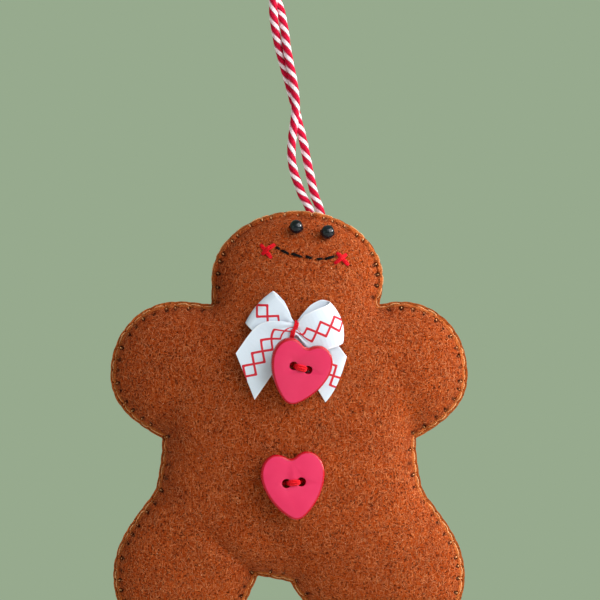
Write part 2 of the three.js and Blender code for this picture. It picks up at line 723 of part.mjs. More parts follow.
function bowRibbon() {
  const size = ribbonWidth / bowGrid;
  const middles = bowStations.map(({ at, lift }) => new THREE.Vector3(at[0] * size, at[1] * size, lift));
  const path = new THREE.CatmullRomCurve3(middles, false, 'centripetal');
  const perStation = 2;
  const count = (bowStations.length - 1) * perStation;
  const spread = [-1, -0.5, 0, 0.5, 1];
  const edges = [];
  for (let i = 0; i <= count; i += 1) {
    const index = Math.min(Math.floor(i / perStation), bowStations.length - 2);
    const blend = i / perStation - index;
    const from = bowStations[index];
    const to = bowStations[index + 1];
    const smooth = blend * blend * (3 - 2 * blend);
    const mix = (a, b) => a + (b - a) * smooth;
    const open = mix(from.width, to.width);
    const width = knotWidth + (ribbonWidth - knotWidth) * open;
    const lean = THREE.MathUtils.degToRad(mix(from.lean, to.lean));
    const slant = mix(from.slant || 0, to.slant || 0) * tailSlant;
    const here = path.getPoint(i / count);
    const heading = path.getTangent(i / count);
    const away = i < count / 2 ? 1 : -1;
    const row = spread.map((s, k) => {
      const run = s * slant * away;
      const x = knotPlace[0] + here.x + Math.cos(lean) * s * width / 2 + heading.x * run;
      const z = knotPlace[1] + here.y + Math.sin(lean) * s * width / 2 + heading.y * run;
      const pleat = (k % 2 === 0 ? 1 : -1) * knotPleat * (1 - open);
      return new THREE.Vector3(x, depthOn(front.outer, front.triangles, x, z) - here.z - pleat, z);
    });
    edges.push(row);
  }
  const rings = edges.map((row, i) => {
    const before = edges[Math.max(0, i - 1)];
    const after = edges[Math.min(edges.length - 1, i + 1)];
    const normals = row.map((p, k) => {
      const along = after[k].clone().sub(before[k]);
      const across = row[Math.min(4, k + 1)].clone().sub(row[Math.max(0, k - 1)]);
      return across.cross(along).normalize().multiplyScalar(ribbonThickness / 2);
    });
    const near = row.map((p, k) => p.clone().add(normals[k]));
    const far = row.map((p, k) => p.clone().sub(normals[k]));
    return far.concat(near.reverse());
  });
  return sweep(rings, false);
}

// Wrap: thread wound round the three layers at the knot.
function wrapPath() {
  const tall = knotWidth / 2 + wrapSlack + clearance + wrapRadius;
  const deep = layerStep + knotPleat + ribbonThickness / 2 + clearance + wrapRadius;
  const square = (value) => Math.sign(value) * Math.abs(value) ** 0.6;
  const right = new THREE.Vector3(Math.cos(wrapTilt), 0, Math.sin(wrapTilt));
  const up = new THREE.Vector3(-Math.sin(wrapTilt), 0, Math.cos(wrapTilt));
  const points = [];
  const steps = wrapTurns * 14;
  for (let i = 0; i <= steps; i += 1) {
    const angle = 2 * Math.PI * wrapTurns * i / steps + Math.PI / 2;
    const point = new THREE.Vector3(knotPlace[0], 0, knotPlace[1]);
    point.addScaledVector(right, (i / steps - 0.5) * wrapTurns * wrapPitch);
    point.addScaledVector(up, tall * square(Math.cos(angle)));
    const felt = depthOn(front.outer, front.triangles, point.x, point.z);
    point.y = felt - middleLift - deep * square(Math.sin(angle));
    points.push(point);
  }
  return points;
}

function leastGap(points, radius, apart) {
  let least = Infinity;
  points.forEach((p, i) => points.slice(i + apart).forEach((q) => {
    least = Math.min(least, p.distanceTo(q));
  }));
  return least - 2 * radius;
}

// Twine: up from the left end, round the hook's eye and down to the right end, crossing itself twice.
const twineRoute = [
  [figureX + twineEndLeft, 0, -loopDrop],
  [8.5, -0.1, -63.2],
  [7.25, -0.3, -60.4],
  [6.2, -0.4, -57.3],
  [5.65, -0.5, -54.0],
  [5.7, -0.7, -50.6],
  [6.0, -0.9, -47.6],
  [6.35, -1.1, -45.0],
  [6.6, -1.15, -42.4],
  [6.6, -1.15, -40.0],
  [6.2, -1.1, -36.5],
  [5.5, -0.95, -32.9],
  [4.6, -0.6, -28.1],
  [3.95, 0.1, -23.3],
  [3.0, 0.75, -18.5],
  [1.5, 1.15, -14.6],
  [-0.9, 0.9, -11.0],
  [-3.2, 0.4, -7.4],
  [-4.3, 0.1, -3.8],
  [-3.2, 0, -0.4],
  [0, 0, twineRadius],
  [3.2, 0, -0.4],
  [4.3, -0.1, -3.8],
  [3.7, -0.5, -7.6],
  [2.5, -1.0, -11.2],
  [1.5, -1.15, -14.6],
  [1.25, -0.75, -18.5],
  [1.8, -0.1, -23.3],
  [2.75, 0.6, -28.1],
  [4.1, 0.95, -32.9],
  [5.1, 1.1, -36.5],
  [6.05, 1.15, -40.0],
  [6.65, 1.15, -42.4],
  [7.2, 1.1, -45.0],
  [7.9, 0.9, -47.8],
  [8.6, 0.6, -50.8],
  [9.25, 0.4, -54.0],
  [9.95, 0.2, -57.4],
  [10.6, 0.1, -60.5],
  [11.35, 0.05, -63.3],
  [figureX + twineEndRight, 0, -loopDrop],
];

function twineLoop() {
  const points = twineRoute.map((p) => new THREE.Vector3(...p));
  const path = new THREE.CatmullRomCurve3(points, false, 'centripetal');
  const tube = solid(cord(path, twineRadius, twineSides, twineSteps));
  const ends = [points[0], points[points.length - 1]].map((p) => {
    const ball = new THREE.SphereGeometry(twineRadius, twineSides, 6);
    ball.rotateX(Math.PI / 2);
    ball.translate(p.x, p.y, p.z);
    return solid(ball);
  });
  return geometryOf(ends.reduce((all, ball) => all.add(ball), tube));
}

// Twine ends: pressed flat between the two felts.
function twineTail(x, spare) {
  const wide = tailWidth / 2 + spare;
  const thick = tailThickness / 2 + spare;
  const section = new THREE.Shape();
  section.absellipse(x, 0, wide, thick, 0, 2 * Math.PI, false, 0);
  const length = tailLength + 2 * spare;
  const tail = new THREE.ExtrudeGeometry(section, { depth: length, bevelEnabled: false, curveSegments: 4 });
  tail.translate(0, 0, headTop - 0.6 + spare - length);
  return tail;
}

// Seam thread: the purl of the blanket stitch, lying on the ledge that the back felt leaves.
// It hops over the two twine ends at the top of the head.
function seamThread() {
  const rest = clearance / 2 + seamThreadRadius;
  const hop = tailThickness / 2 + clearance + seamThreadRadius + 0.05 - rest;
  const twineMiddle = (twineEndLeft + twineEndRight) / 2;
  const twineReach = (twineEndRight - twineEndLeft) / 2 + tailWidth / 2 + 1.5;
  const ring = insetRing(outline, seamLedge - clearance - seamThreadRadius - 0.05, 1);
  const count = ring.length;
  const rings = ring.map(([x, z], i) => {
    const before = ring[(i + count - 1) % count];
    const after = ring[(i + 1) % count];
    const outward = new THREE.Vector3(before[1] - after[1], 0, after[0] - before[0]).normalize();
    const overTwine = z > headMid && Math.abs(x - twineMiddle) < twineReach;
    const section = [];
    for (let k = 0; k < 5; k += 1) {
      const angle = 2 * Math.PI * k / 5;
      const point = new THREE.Vector3(x, -rest - (overTwine ? hop : 0), z);
      point.addScaledVector(outward, seamThreadRadius * Math.cos(angle));
      point.y -= seamThreadRadius * Math.sin(angle);
      section.push(point);
    }
    return section.reverse();
  });
  return sweep(rings, true);
}

// The whole stuffing, one clearance inside both felts, before it is parted into wads.
function stuffingBlank() {
  const keep = front.triangles.filter((corners) => corners.every((i) => i >= front.flatCount));
  const frontSkin = front.inner.map((p, i) => p.clone().addScaledVector(front.normals[i], -clearance));
  const mirrored = frontSkin.map((p) => new THREE.Vector3(p.x, -p.y, p.z));
  return solid(bodyBetween(mirrored, frontSkin, keep, -1));
}

function block(x0, x1, z0, z1) {
  const box = new THREE.BoxGeometry(x1 - x0, armSpan, z1 - z0);
  box.translate((x0 + x1) / 2, 0, (z0 + z1) / 2);
  return solid(box);
}

// Regions of the wads: head, arms and legs, each with the room it keeps from the torso.
function wadRegions(spare) {
  const armLine = waistWidth / 2 - wadArmInset - spare;
  const legLine = hipHeight - wadLegDrop + spare;
  const beyond = 2 * armSpan;
  return {
    stuffing_head: block(-beyond, beyond, neckHeight - spare, beyond),
    stuffing_arm_left: block(-beyond, -armLine, armpitHeight - spare, neckHeight + 0.01),
    stuffing_arm_right: block(armLine, beyond, armpitHeight - spare, neckHeight + 0.01),
    stuffing_leg_left: block(-beyond, crotchShift - clearance / 2 + spare, -beyond, legLine),
    stuffing_leg_right: block(crotchShift + clearance / 2 - spare, beyond, -beyond, legLine),
  };
}

const ornament = new THREE.Group();
ornament.name = 'felt_ornament';
const figure = new THREE.Group();
figure.name = 'figure';
figure.position.set(figureX, 0, figureZ);
ornament.add(figure);

const mouthPoints = mouthThread();
place(figure, 'mouth_thread', thread(mouthPoints, threadRadius), blackThreadMaterial);
const sewn = [];
[['left', -1], ['right', 1]].forEach(([name, side]) => {
  const eye = eyePieces(facePlace(eyeMiddle, side * eyeSpacing / 2, 0));
  place(figure, `eye_bead_${name}`, eye.bead, beadMaterial);
  place(figure, `eye_thread_${name}`, thread(eye.points, threadRadius), blackThreadMaterial);
  const cheek = cheekThread(facePlace(cheekMiddle, side * cheekSpacing / 2, 0));
  place(figure, `cheek_cross_${name}`, thread(cheek, threadRadius), redThreadMaterial);
  sewn.push(eye.points, cheek);
});

const ribbon = bowRibbon();
const wrapPoints = wrapPath();
const wrapCurve = new THREE.CatmullRomCurve3(wrapPoints, false, 'centripetal');
const wrap = cord(wrapCurve, wrapRadius, threadSides, 40);
console.log('bow wrap least gap', leastGap(wrapPoints, wrapRadius, 8).toFixed(2));
place(figure, 'bow_wrap', wrap, redThreadMaterial);

const bellyPlace = [bellyButtonShift, bellyButtonHeight];
const bellySeat = buttonSeat(bellyPlace, bellyButtonTurn, bellyButtonLean, front.outer);
const bowPlace = [knotPlace[0] + bowButtonShift, knotPlace[1] - bowButtonDrop];
const underBowButton = cornersOf(ribbon).concat(cornersOf(wrap), front.outer);
const bowSeat = buttonSeat(bowPlace, bowButtonTurn, bowButtonLean, underBowButton);
const buttons = [
  ['belly_button', bellySeat, heartButton(1, 0)],
  ['bow_button', bowSeat, heartButton(bowButtonSize, bowButtonRise)],
];
buttons.forEach(([name, seat, button]) => {
  seat.name = `${name}_seat`;
  figure.add(seat);
  place(seat, name, button, buttonMaterial);
  const points = buttonThread(seat);
  place(figure, `${name}_thread`, thread(points, threadRadius), redThreadMaterial);
  sewn.push(points);
});
const ribbonRoom = solid(thread(sewn[sewn.length - 1], threadRadius + clearance));
place(figure, 'bow_ribbon', geometryOf(solid(ribbon).subtract(ribbonRoom)), ribbonMaterial);

const tails = [twineEndLeft, twineEndRight];
const tailRoom = tails.map((x) => solid(twineTail(x, clearance)));
place(figure, 'twine_end_left', twineTail(twineEndLeft, 0), twineMaterial);
place(figure, 'twine_end_right', twineTail(twineEndRight, 0), twineMaterial);

const frontBody = solid(bodyBetween(front.inner, front.outer, front.triangles, -1));
const backBody = solid(bodyBetween(back.inner, back.outer, back.triangles, 1));
place(figure, 'front_felt', geometryOf(cut(frontBody, needleHoles.concat(tailRoom))), feltMaterial);
place(figure, 'back_felt', geometryOf(cut(backBody, tailRoom)), feltMaterial);
place(figure, 'seam_thread', seamThread(), seamMaterial);

sewn.concat([mouthPoints]).forEach((points) => {
  stuffingRoom.push(solid(thread(points, threadRadius + clearance)));
});
const stuffing = cut(stuffingBlank(), stuffingRoom.concat(tailRoom));
const regions = wadRegions(0);
const wider = wadRegions(clearance);
place(figure, 'stuffing_torso', geometryOf(cut(stuffing, Object.values(wider))), fillMaterial);
Object.entries(regions).forEach(([name, region]) => {
  place(figure, name, geometryOf(stuffing.intersect(region)), fillMaterial);
});

place(ornament, 'twine_loop', twineLoop(), twineMaterial);

export default ornament;
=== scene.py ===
import json
import math
import random

import bpy
import numpy as np
from mathutils import Matrix, Vector, noise
from mathutils.bvhtree import BVHTree
from mathutils.geometry import delaunay_2d_cdt


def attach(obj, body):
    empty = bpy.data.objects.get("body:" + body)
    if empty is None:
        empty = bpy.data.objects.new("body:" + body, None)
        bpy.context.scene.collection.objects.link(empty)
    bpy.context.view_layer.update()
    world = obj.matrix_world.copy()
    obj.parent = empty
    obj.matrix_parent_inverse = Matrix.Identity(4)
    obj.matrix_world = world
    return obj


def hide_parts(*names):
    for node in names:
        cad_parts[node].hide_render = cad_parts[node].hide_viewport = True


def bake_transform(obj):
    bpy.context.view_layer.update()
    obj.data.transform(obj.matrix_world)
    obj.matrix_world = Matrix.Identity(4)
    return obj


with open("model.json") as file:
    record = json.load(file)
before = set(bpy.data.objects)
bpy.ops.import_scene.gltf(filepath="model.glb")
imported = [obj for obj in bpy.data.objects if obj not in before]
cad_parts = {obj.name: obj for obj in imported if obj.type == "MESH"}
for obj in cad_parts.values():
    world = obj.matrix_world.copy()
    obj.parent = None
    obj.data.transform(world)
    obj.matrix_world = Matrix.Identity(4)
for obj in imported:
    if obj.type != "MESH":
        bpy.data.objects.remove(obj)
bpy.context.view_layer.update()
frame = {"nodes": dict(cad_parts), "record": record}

mm = 0.001
figureAt = np.array([5.04, 0, -121.7])  # the middle of the waist in the part's frame, mm
random.seed(7)
dice = np.random.default_rng(7)
bpy.context.scene.view_settings.view_transform = "Standard"


# a socket that can be added, multiplied and so on, so that shader maths reads as sums
class Wire:
    def __init__(self, socket):
        self.socket = socket

    def make(self, kind, settings=None, inputs=None, out=0):
        tree = self.socket.id_data
        node = tree.nodes.new(kind)
        for key, value in (settings or {}).items():
            setattr(node, key, value)
        for key, value in (inputs or {}).items():
            if isinstance(value, Wire):
                tree.links.new(value.socket, node.inputs[key])
            else:
                node.inputs[key].default_value = value
        return Wire(node.outputs[out])

    def sum(self, operation, other, flip=False):
        pair = {0: other, 1: self} if flip else {0: self, 1: other}
        return self.make("ShaderNodeMath", {"operation": operation}, pair)

    def __add__(self, other):
        return self.sum("ADD", other)

    def __sub__(self, other):
        return self.sum("SUBTRACT", other)

    def __mul__(self, other):
        return self.sum("MULTIPLY", other)

    def __truediv__(self, other):
        return self.sum("DIVIDE", other)

    def __rsub__(self, other):
        return self.sum("SUBTRACT", other, True)

    __radd__ = __add__
    __rmul__ = __mul__

    def step(self, low, high):
        span = {"From Min": low, "From Max": high}
        return self.make("ShaderNodeMapRange", {"interpolation_type": "SMOOTHSTEP"}, {"Value": self, **span})

    def tint(self, first, second):
        pair = [(*c, 1) if isinstance(c, tuple) else c for c in (first, second)]
        return self.make("ShaderNodeMix", {"data_type": "RGBA"}, {0: self, 6: pair[0], 7: pair[1]}, 2)

    def stretch(self, scale, turn=(0, 0, 0)):
        return self.make("ShaderNodeMapping", None, {"Vector": self, "Scale": scale, "Rotation": turn})

    def grain(self, scale, detail=2.0, rough=0.5):
        return self.make("ShaderNodeTexNoise", None,
                         {"Vector": self, "Scale": scale, "Detail": detail, "Roughness": rough})

    def bump(self, strength, distance):
        return self.make("ShaderNodeBump", None, {"Height": self, "Strength": strength, "Distance": distance})


def newMaterial(name):
    material = bpy.data.materials.new(name)
    material.use_nodes = True
    nodes = material.node_tree.nodes
    coords = nodes.new("ShaderNodeTexCoord")
    return material, nodes["Principled BSDF"], Wire(coords.outputs["Object"]), Wire(coords.outputs["UV"])


def feed(shader, values):
    for key, value in values.items():
        if isinstance(value, Wire):
            shader.id_data.links.new(value.socket, shader.inputs[key])
        else:
            shader.inputs[key].default_value = (*value, 1) if isinstance(value, tuple) else value


def attributeOf(wire, name):
    return wire.make("ShaderNodeAttribute", {"attribute_name": name}, None, 2)


# the two ways of a piece's own map
def mapParts(uv):
    parts = uv.make("ShaderNodeSeparateXYZ", None, {0: uv})
    return parts, Wire(parts.socket.node.outputs[1])


def clearSelection():
    if bpy.context.object and bpy.context.object.mode != "OBJECT":
        bpy.ops.object.mode_set(mode="OBJECT")
    bpy.ops.object.select_all(action="DESELECT")


def pick(piece):
    clearSelection()
    piece.select_set(True)
    bpy.context.view_layer.objects.active = piece


def newPiece(name, points, faces, uv=None):
    mesh = bpy.data.meshes.new(name)
    mesh.from_pydata((np.asarray(points) * mm).tolist(), [], [list(f) for f in faces])
    if uv is not None:
        mesh.uv_layers.new(name="UVMap").data.foreach_set("uv", np.asarray(uv, np.float32).ravel())
    mesh.update()
    piece = bpy.data.objects.new(name, mesh)
    bpy.context.collection.objects.link(piece)
    return piece


def useModifier(piece, kind, **settings):
    modifier = piece.modifiers.new(kind.title(), kind)
    for key, value in settings.items():
        setattr(modifier, key, value)
    pick(piece)
    bpy.ops.object.modifier_apply(modifier=modifier.name)


# a round hole through a piece, along z
def drillHole(piece, radius, depth, sides, at=(0, 0, 0)):
    clearSelection()
    bpy.ops.mesh.primitive_cylinder_add(vertices=sides, radius=radius, depth=depth, location=at)
    drill = bpy.context.object
    useModifier(piece, "BOOLEAN", operation="DIFFERENCE", object=drill, solver="EXACT")
    bpy.data.objects.remove(drill)


def dress(piece, material, nodes, body="figure", angle=None):
    piece.data.materials.clear()
    piece.data.materials.append(material)
    pick(piece)
    if angle:
        bpy.ops.object.shade_smooth_by_angle(angle=math.radians(angle))
    else:
        bpy.ops.object.shade_smooth()
    if body:
        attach(piece, body)
    if nodes:
        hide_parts(*nodes)


# the camera looks straight at the figure's front
view = {"middle": (7.68, -88.08), "away": 1.6, "lens": 400}
bpy.ops.object.camera_add(location=(view["middle"][0] * mm, -view["away"], view["middle"][1] * mm),
                          rotation=(math.pi / 2, 0, 0))
bpy.context.object.data.lens = view["lens"]
bpy.context.object.data.clip_end = 20
bpy.context.scene.camera = bpy.context.object

studio = {
    "lamps": {
        "key": {"at": (0.74, -0.50, 0.36), "size": 0.95, "power": 12.5, "colour": (1, 0.985, 0.97)},
        "front": {"at": (0.22, -1.05, 0.62), "size": 0.9, "power": 2.4, "colour": (0.94, 0.97, 1)},
        "fill": {"at": (-0.75, -0.35, -0.1), "size": 0.6, "power": 0.5, "colour": (0.96, 0.97, 1)},
        "side": {"at": (0.95, 0.02, 0.16), "size": 0.26, "power": 7.0, "colour": (1, 0.98, 0.96)},
        "rear": {"at": (-0.55, 1.05, 0.2), "size": 0.7, "power": 11.0, "colour": (1, 0.985, 0.97)},
    },
    "target": (0.006, 0, -0.115),
    "floor": {"drop": -0.25, "radius": 0.6, "colours": ((0.62, 0.66, 0.58), (0.66, 0.70, 0.62))},
    "wall": (0.31, 0.402, 0.27),
    "air": {"colour": (1, 0.94, 0.86), "strength": 0.25},
}

for name, words in studio["lamps"].items():
    aim = (Vector(studio["target"]) - Vector(words["at"])).to_track_quat("-Z", "Y")
    bpy.ops.object.light_add(type="AREA", location=words["at"], rotation=aim.to_euler())
    lamp = bpy.context.object
    lamp.data.size = words["size"]
    lamp.data.energy = words["power"]
    lamp.data.color = words["colour"]
    lamp.visible_glossy = name != "rear"  # no glint round the beads from behind

clearSelection()
bpy.ops.mesh.primitive_circle_add(vertices=96, radius=studio["floor"]["radius"], fill_type="NGON",
                                  location=(0, 0, studio["floor"]["drop"]))
floor = bpy.context.object
floor.name = "floor"
material, shader, place, _ = newMaterial("floorPaint")
feed(shader, {"Base Color": place.grain(6).step(0.3, 0.7).tint(*studio["floor"]["colours"]), "Roughness": 0.9})
floor.data.materials.append(material)

world = bpy.data.worlds.new("studioAir")
bpy.context.scene.world = world
world.use_nodes = True
air = world.node_tree.nodes["Background"]
air.inputs["Color"].default_value = (*studio["air"]["colour"], 1)
air.inputs["Strength"].default_value = studio["air"]["strength"]
wall = world.node_tree.nodes.new("ShaderNodeBackground")
wall.inputs["Color"].default_value = (*studio["wall"], 1)
rays = world.node_tree.nodes.new("ShaderNodeLightPath")
seen = Wire(rays.outputs["Is Camera Ray"])
seen = seen.sum("MAXIMUM", Wire(rays.outputs["Is Glossy Ray"]))
seen = seen.sum("MAXIMUM", Wire(rays.outputs["Is Transmission Ray"]))
both = seen.make("ShaderNodeMixShader", None, {0: seen, 1: Wire(air.outputs[0]), 2: Wire(wall.outputs[0])})
world.node_tree.links.new(both.socket, world.node_tree.nodes["World Output"].inputs["Surface"])
print("camera, lamps and floor are set")


# a smooth curve through a list of points
def smoothPath(points, perSpan):
    points = np.asarray(points, float)
    ends = np.vstack([2 * points[0] - points[1], points, 2 * points[-1] - points[-2]])
    rows = []
    for i in range(len(points) - 1):
        p0, p1, p2, p3 = ends[i:i + 4]
        gaps = [max(np.linalg.norm(b - a), 1e-6) ** 0.5 for a, b in ((p0, p1), (p1, p2), (p2, p3))]
        slopeIn = (p1 - p0) / gaps[0] - (p2 - p0) / (gaps[0] + gaps[1]) + (p2 - p1) / gaps[1]
        slopeOut = (p2 - p1) / gaps[1] - (p3 - p1) / (gaps[1] + gaps[2]) + (p3 - p2) / gaps[2]
        slopeIn, slopeOut = slopeIn * gaps[1], slopeOut * gaps[1]
        t = np.linspace(0, 1, perSpan, endpoint=False)[:, None]
        rows.append(p1 + slopeIn * t + (-3 * p1 + 3 * p2 - 2 * slopeIn - slopeOut) * t ** 2
                    + (2 * p1 - 2 * p2 + slopeIn + slopeOut) * t ** 3)
    return np.vstack(rows + [points[-1:]])


def lengthsAlong(path):
    return np.r_[0, np.cumsum(np.linalg.norm(np.diff(path, axis=0), axis=1))]


def evenly(path, step):
    run = lengthsAlong(path)
    at = np.linspace(0, run[-1], max(2, round(run[-1] / step)) + 1)
    return np.column_stack([np.interp(at, run, path[:, k]) for k in range(path.shape[1])])


def framesAlong(path):
    ahead = np.gradient(path, axis=0)
    ahead /= np.linalg.norm(ahead, axis=1)[:, None]
    aside = np.cross(ahead[0], (0.3, 0.2, 0.9) if abs(ahead[0][2]) < 0.9 else (0.9, 0.3, 0.1))
    sides = []
    for way in ahead:
        aside = aside - way * aside.dot(way)
        aside = aside / np.linalg.norm(aside)
        sides.append(aside)
    sides = np.array(sides)
    return ahead, sides, np.cross(ahead, sides)


# several round threads in one piece, each capped at both ends; the map runs round and along in mm
def threadPiece(name, paths, radius, sides=7):
    points, faces, uv = [], [], []
    turn = 2 * np.pi * np.arange(sides) / sides
    for path, own in zip(paths, np.broadcast_to(radius, len(paths))):
        path = np.asarray(path, float)
        ahead, right, up = framesAlong(path)
        start = len(points)
        ring = np.cos(turn)[None, :, None] * right[:, None] + np.sin(turn)[None, :, None] * up[:, None]
        thick = np.full(len(path), own)
        thick[[0, -1]] *= 0.6
        points.extend((path[:, None] + ring * thick[:, None, None]).reshape(-1, 3))
        run = lengthsAlong(path)
        for i in range(len(path) - 1):
            for k in range(sides):
                n = (k + 1) % sides
                a, b = start + i * sides, start + (i + 1) * sides
                faces.append((a + k, a + n, b + n, b + k))
                uv += [(k / sides, run[i]), ((k + 1) / sides, run[i]),
                       ((k + 1) / sides, run[i + 1]), (k / sides, run[i + 1])]
        last = start + (len(path) - 1) * sides
        faces.append(tuple(range(start + sides - 1, start - 1, -1)))
        faces.append(tuple(range(last, last + sides)))
        uv += [(0.5, 0)] * sides + [(0.5, run[-1])] * sides
    return newPiece(name, points, faces, uv)


# baker's twine: four plies, red and white in turn, laid left-handed
twine = {
    "radius": 1.0, "plies": 4, "lay": 7.236, "step": 0.22, "phase": 2.01, "mapShare": 0.96,
    # up the left strand, round the eye and down the right strand
    "route": [
        (9.6, 0, -65.4), (8.35, -0.1, -63.2), (7.25, -0.3, -60.4), (6.2, -0.4, -57.3), (5.65, -0.5, -54.0),
        (5.7, -0.7, -50.6), (6.0, -0.9, -47.6), (6.35, -1.1, -45.0), (6.6, -1.15, -42.4), (6.6, -1.15, -40.0),
        (6.2, -1.1, -36.5), (5.5, -0.95, -32.9), (4.6, -0.6, -28.1), (3.95, 0.1, -23.3), (3.0, 0.75, -18.5),
        (1.5, 1.15, -14.6), (-0.9, 0.9, -11.0), (-3.2, 0.4, -7.4), (-4.3, 0.1, -3.8), (-3.2, 0, -0.4),
        (0, 0, 1.0), (3.2, 0, -0.4), (4.3, -0.1, -3.8), (3.7, -0.5, -7.6), (2.5, -1.0, -11.2),
        (1.5, -1.15, -14.6), (1.25, -0.75, -18.5), (1.8, -0.1, -23.3), (2.75, 0.6, -28.1), (4.1, 0.95, -32.9),
        (5.1, 1.1, -36.5), (6.05, 1.15, -40.0), (6.65, 1.15, -42.4), (7.2, 1.1, -45.0), (7.9, 0.9, -47.8),
        (8.6, 0.6, -50.8), (9.25, 0.4, -54.0), (9.95, 0.2, -57.4), (10.6, 0.1, -60.5), (11.3, 0.05, -63.3),
        (12.1, 0, -65.4),
    ],
    "tailIn": [(10.3, 0, -73.4), (10.35, 0, -70.5), (10.3, 0, -67.8)],
    "tailOut": [(12.75, 0, -67.8), (12.95, 0, -70.5), (12.9, 0, -73.4)],
    "pressFrom": -66.0, "pressTo": -68.6, "pressed": 0.34, "spread": 1.08,
    "bendFrom": (0.0113, 0, -0.0632), "bendTo": (0.0113, 0, -0.0672),
}


def makeTwine():
    line = evenly(smoothPath(twine["tailIn"] + twine["route"] + twine["tailOut"], 12), twine["step"])
    ahead, right, up = framesAlong(line)
    run = lengthsAlong(line)
    press = np.clip((twine["pressFrom"] - line[:, 2]) / (twine["pressFrom"] - twine["pressTo"]), 0, 1)
    squash = [1 + (twine[key] - 1) * press for key in ("spread", "pressed")]
    flat = np.column_stack([*squash, np.ones(len(line))])
    # a ply's section has a round outer face and a narrow root
    bent = np.radians(np.r_[np.linspace(-36, 36, 7), 44, 20, -20, -44])
    far = np.r_[np.ones(7), 0.8, 0.1, 0.1, 0.8] * twine["radius"]
    section = np.column_stack([np.cos(bent), np.sin(bent)]) * far[:, None]
    columns = len(section)
    points, faces, uv = [], [], []
    for ply in range(twine["plies"]):
        turn = twine["phase"] + 2 * np.pi * ply / twine["plies"] - 2 * np.pi * run / twine["lay"]
        out = np.cos(turn)[:, None] * right + np.sin(turn)[:, None] * up
        aside = np.cos(turn)[:, None] * up - np.sin(turn)[:, None] * right
        swell = 1 + 0.025 * np.sin(run * 1.7 + ply) + 0.02 * np.sin(run * 0.61 + 3 * ply)
        ring = section[None, :, :1] * out[:, None] + section[None, :, 1:] * aside[:, None]
        ring = line[:, None] + ring * swell[:, None, None]
        start = len(points)
        points.extend((line[:, None] + (ring - line[:, None]) * flat[:, None]).reshape(-1, 3))
        for i in range(len(line) - 1):
            for k in range(columns):
                a, b, n = start + i * columns, start + (i + 1) * columns, (k + 1) % columns
                faces.append((a + k, a + n, b + n, b + k))
                low, high = ((ply + c / columns * twine["mapShare"]) / 2 for c in (k, k + 1))
                uv += [(low, run[i]), (high, run[i]), (high, run[i + 1]), (low, run[i + 1])]
        last = start + (len(line) - 1) * columns
        faces += [tuple(range(start + columns - 1, start - 1, -1)), tuple(range(last, last + columns))]
        uv += [(ply / 2 + 0.2, 0)] * (2 * columns)
    return newPiece("bakersTwine", points, faces, uv), line * mm


def twineMaterial():
    material, shader, place, uv = newMaterial("bakersTwineCotton")
    around, along = mapParts(uv)
    slanted = uv.make("ShaderNodeCombineXYZ", None, {0: around * 30 + along * 2.2, 1: along * 0.9})
    hair = slanted.grain(1.0, 3, 0.6)
    loose = place.grain(1700, 4, 0.65)
    white = around.sum("FRACT", 0).step(0.489, 0.491)
    within = (around * 2).sum("FRACT", 0) * 11.46  # counts the faces of a ply's section, the first six outside
    edge = ((within - 3).sum("ABSOLUTE", 0) / 3).step(0.66, 1.0)
    redTone = hair.step(0.25, 0.75).tint((0.40, 0.0004, 0.011), (0.69, 0.002, 0.056))
    whiteTone = hair.step(0.25, 0.75).tint((0.88, 0.70, 0.79), (0.99, 0.90, 0.96))
    # painted shade: the white plies turn pink towards their edges, where they sink into the grooves beside the red
    # plies
    whiteTone = edge.tint(whiteTone, (0.74, 0.28, 0.36))
    height = hair * 0.8 + loose * 0.3
    feed(shader, {"Base Color": white.tint(redTone, whiteTone), "Roughness": 0.85,
                  "Specular IOR Level": 0.2, "Normal": height.bump(0.5, 0.0002)})
    return material


bakersTwine, twineLine = makeTwine()
dress(bakersTwine, twineMaterial(), ["twine_loop", "twine_end_left", "twine_end_right"], None)
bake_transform(bakersTwine)


# the felt's cut: one outline, with the head set a little to the right
cutOut = {
    "headWidth": 41.2, "headTop": 55, "headMid": 38.6, "headShift": 2, "neckWidth": 40.4, "neckShift": 1.5,
    "neckHeight": 32.6, "armSpan": 85.8, "armTopSpan": 53, "armTop": 33.3, "armTip": 15.6, "armpit": 0.4,
    "waistWidth": 61, "hipWidth": 63.6, "hipHeight": -10.5, "legSpan": 84.4, "legTip": -32.4, "footSpan": 48.8,
    "footBottom": -50.2, "crotchWidth": 7.6, "crotchHeight": -33.3, "crotchShift": -3.6, "crotchSlant": 0.75,
}


def bezier(a, b, c, d):
    a, b, c, d = (np.array(p, float) for p in (a, b, c, d))
    t = np.linspace(0, 1, 80)[:, None]
    return (1 - t) ** 3 * a + 3 * (1 - t) ** 2 * t * b + 3 * (1 - t) * t ** 2 * c + t ** 3 * d


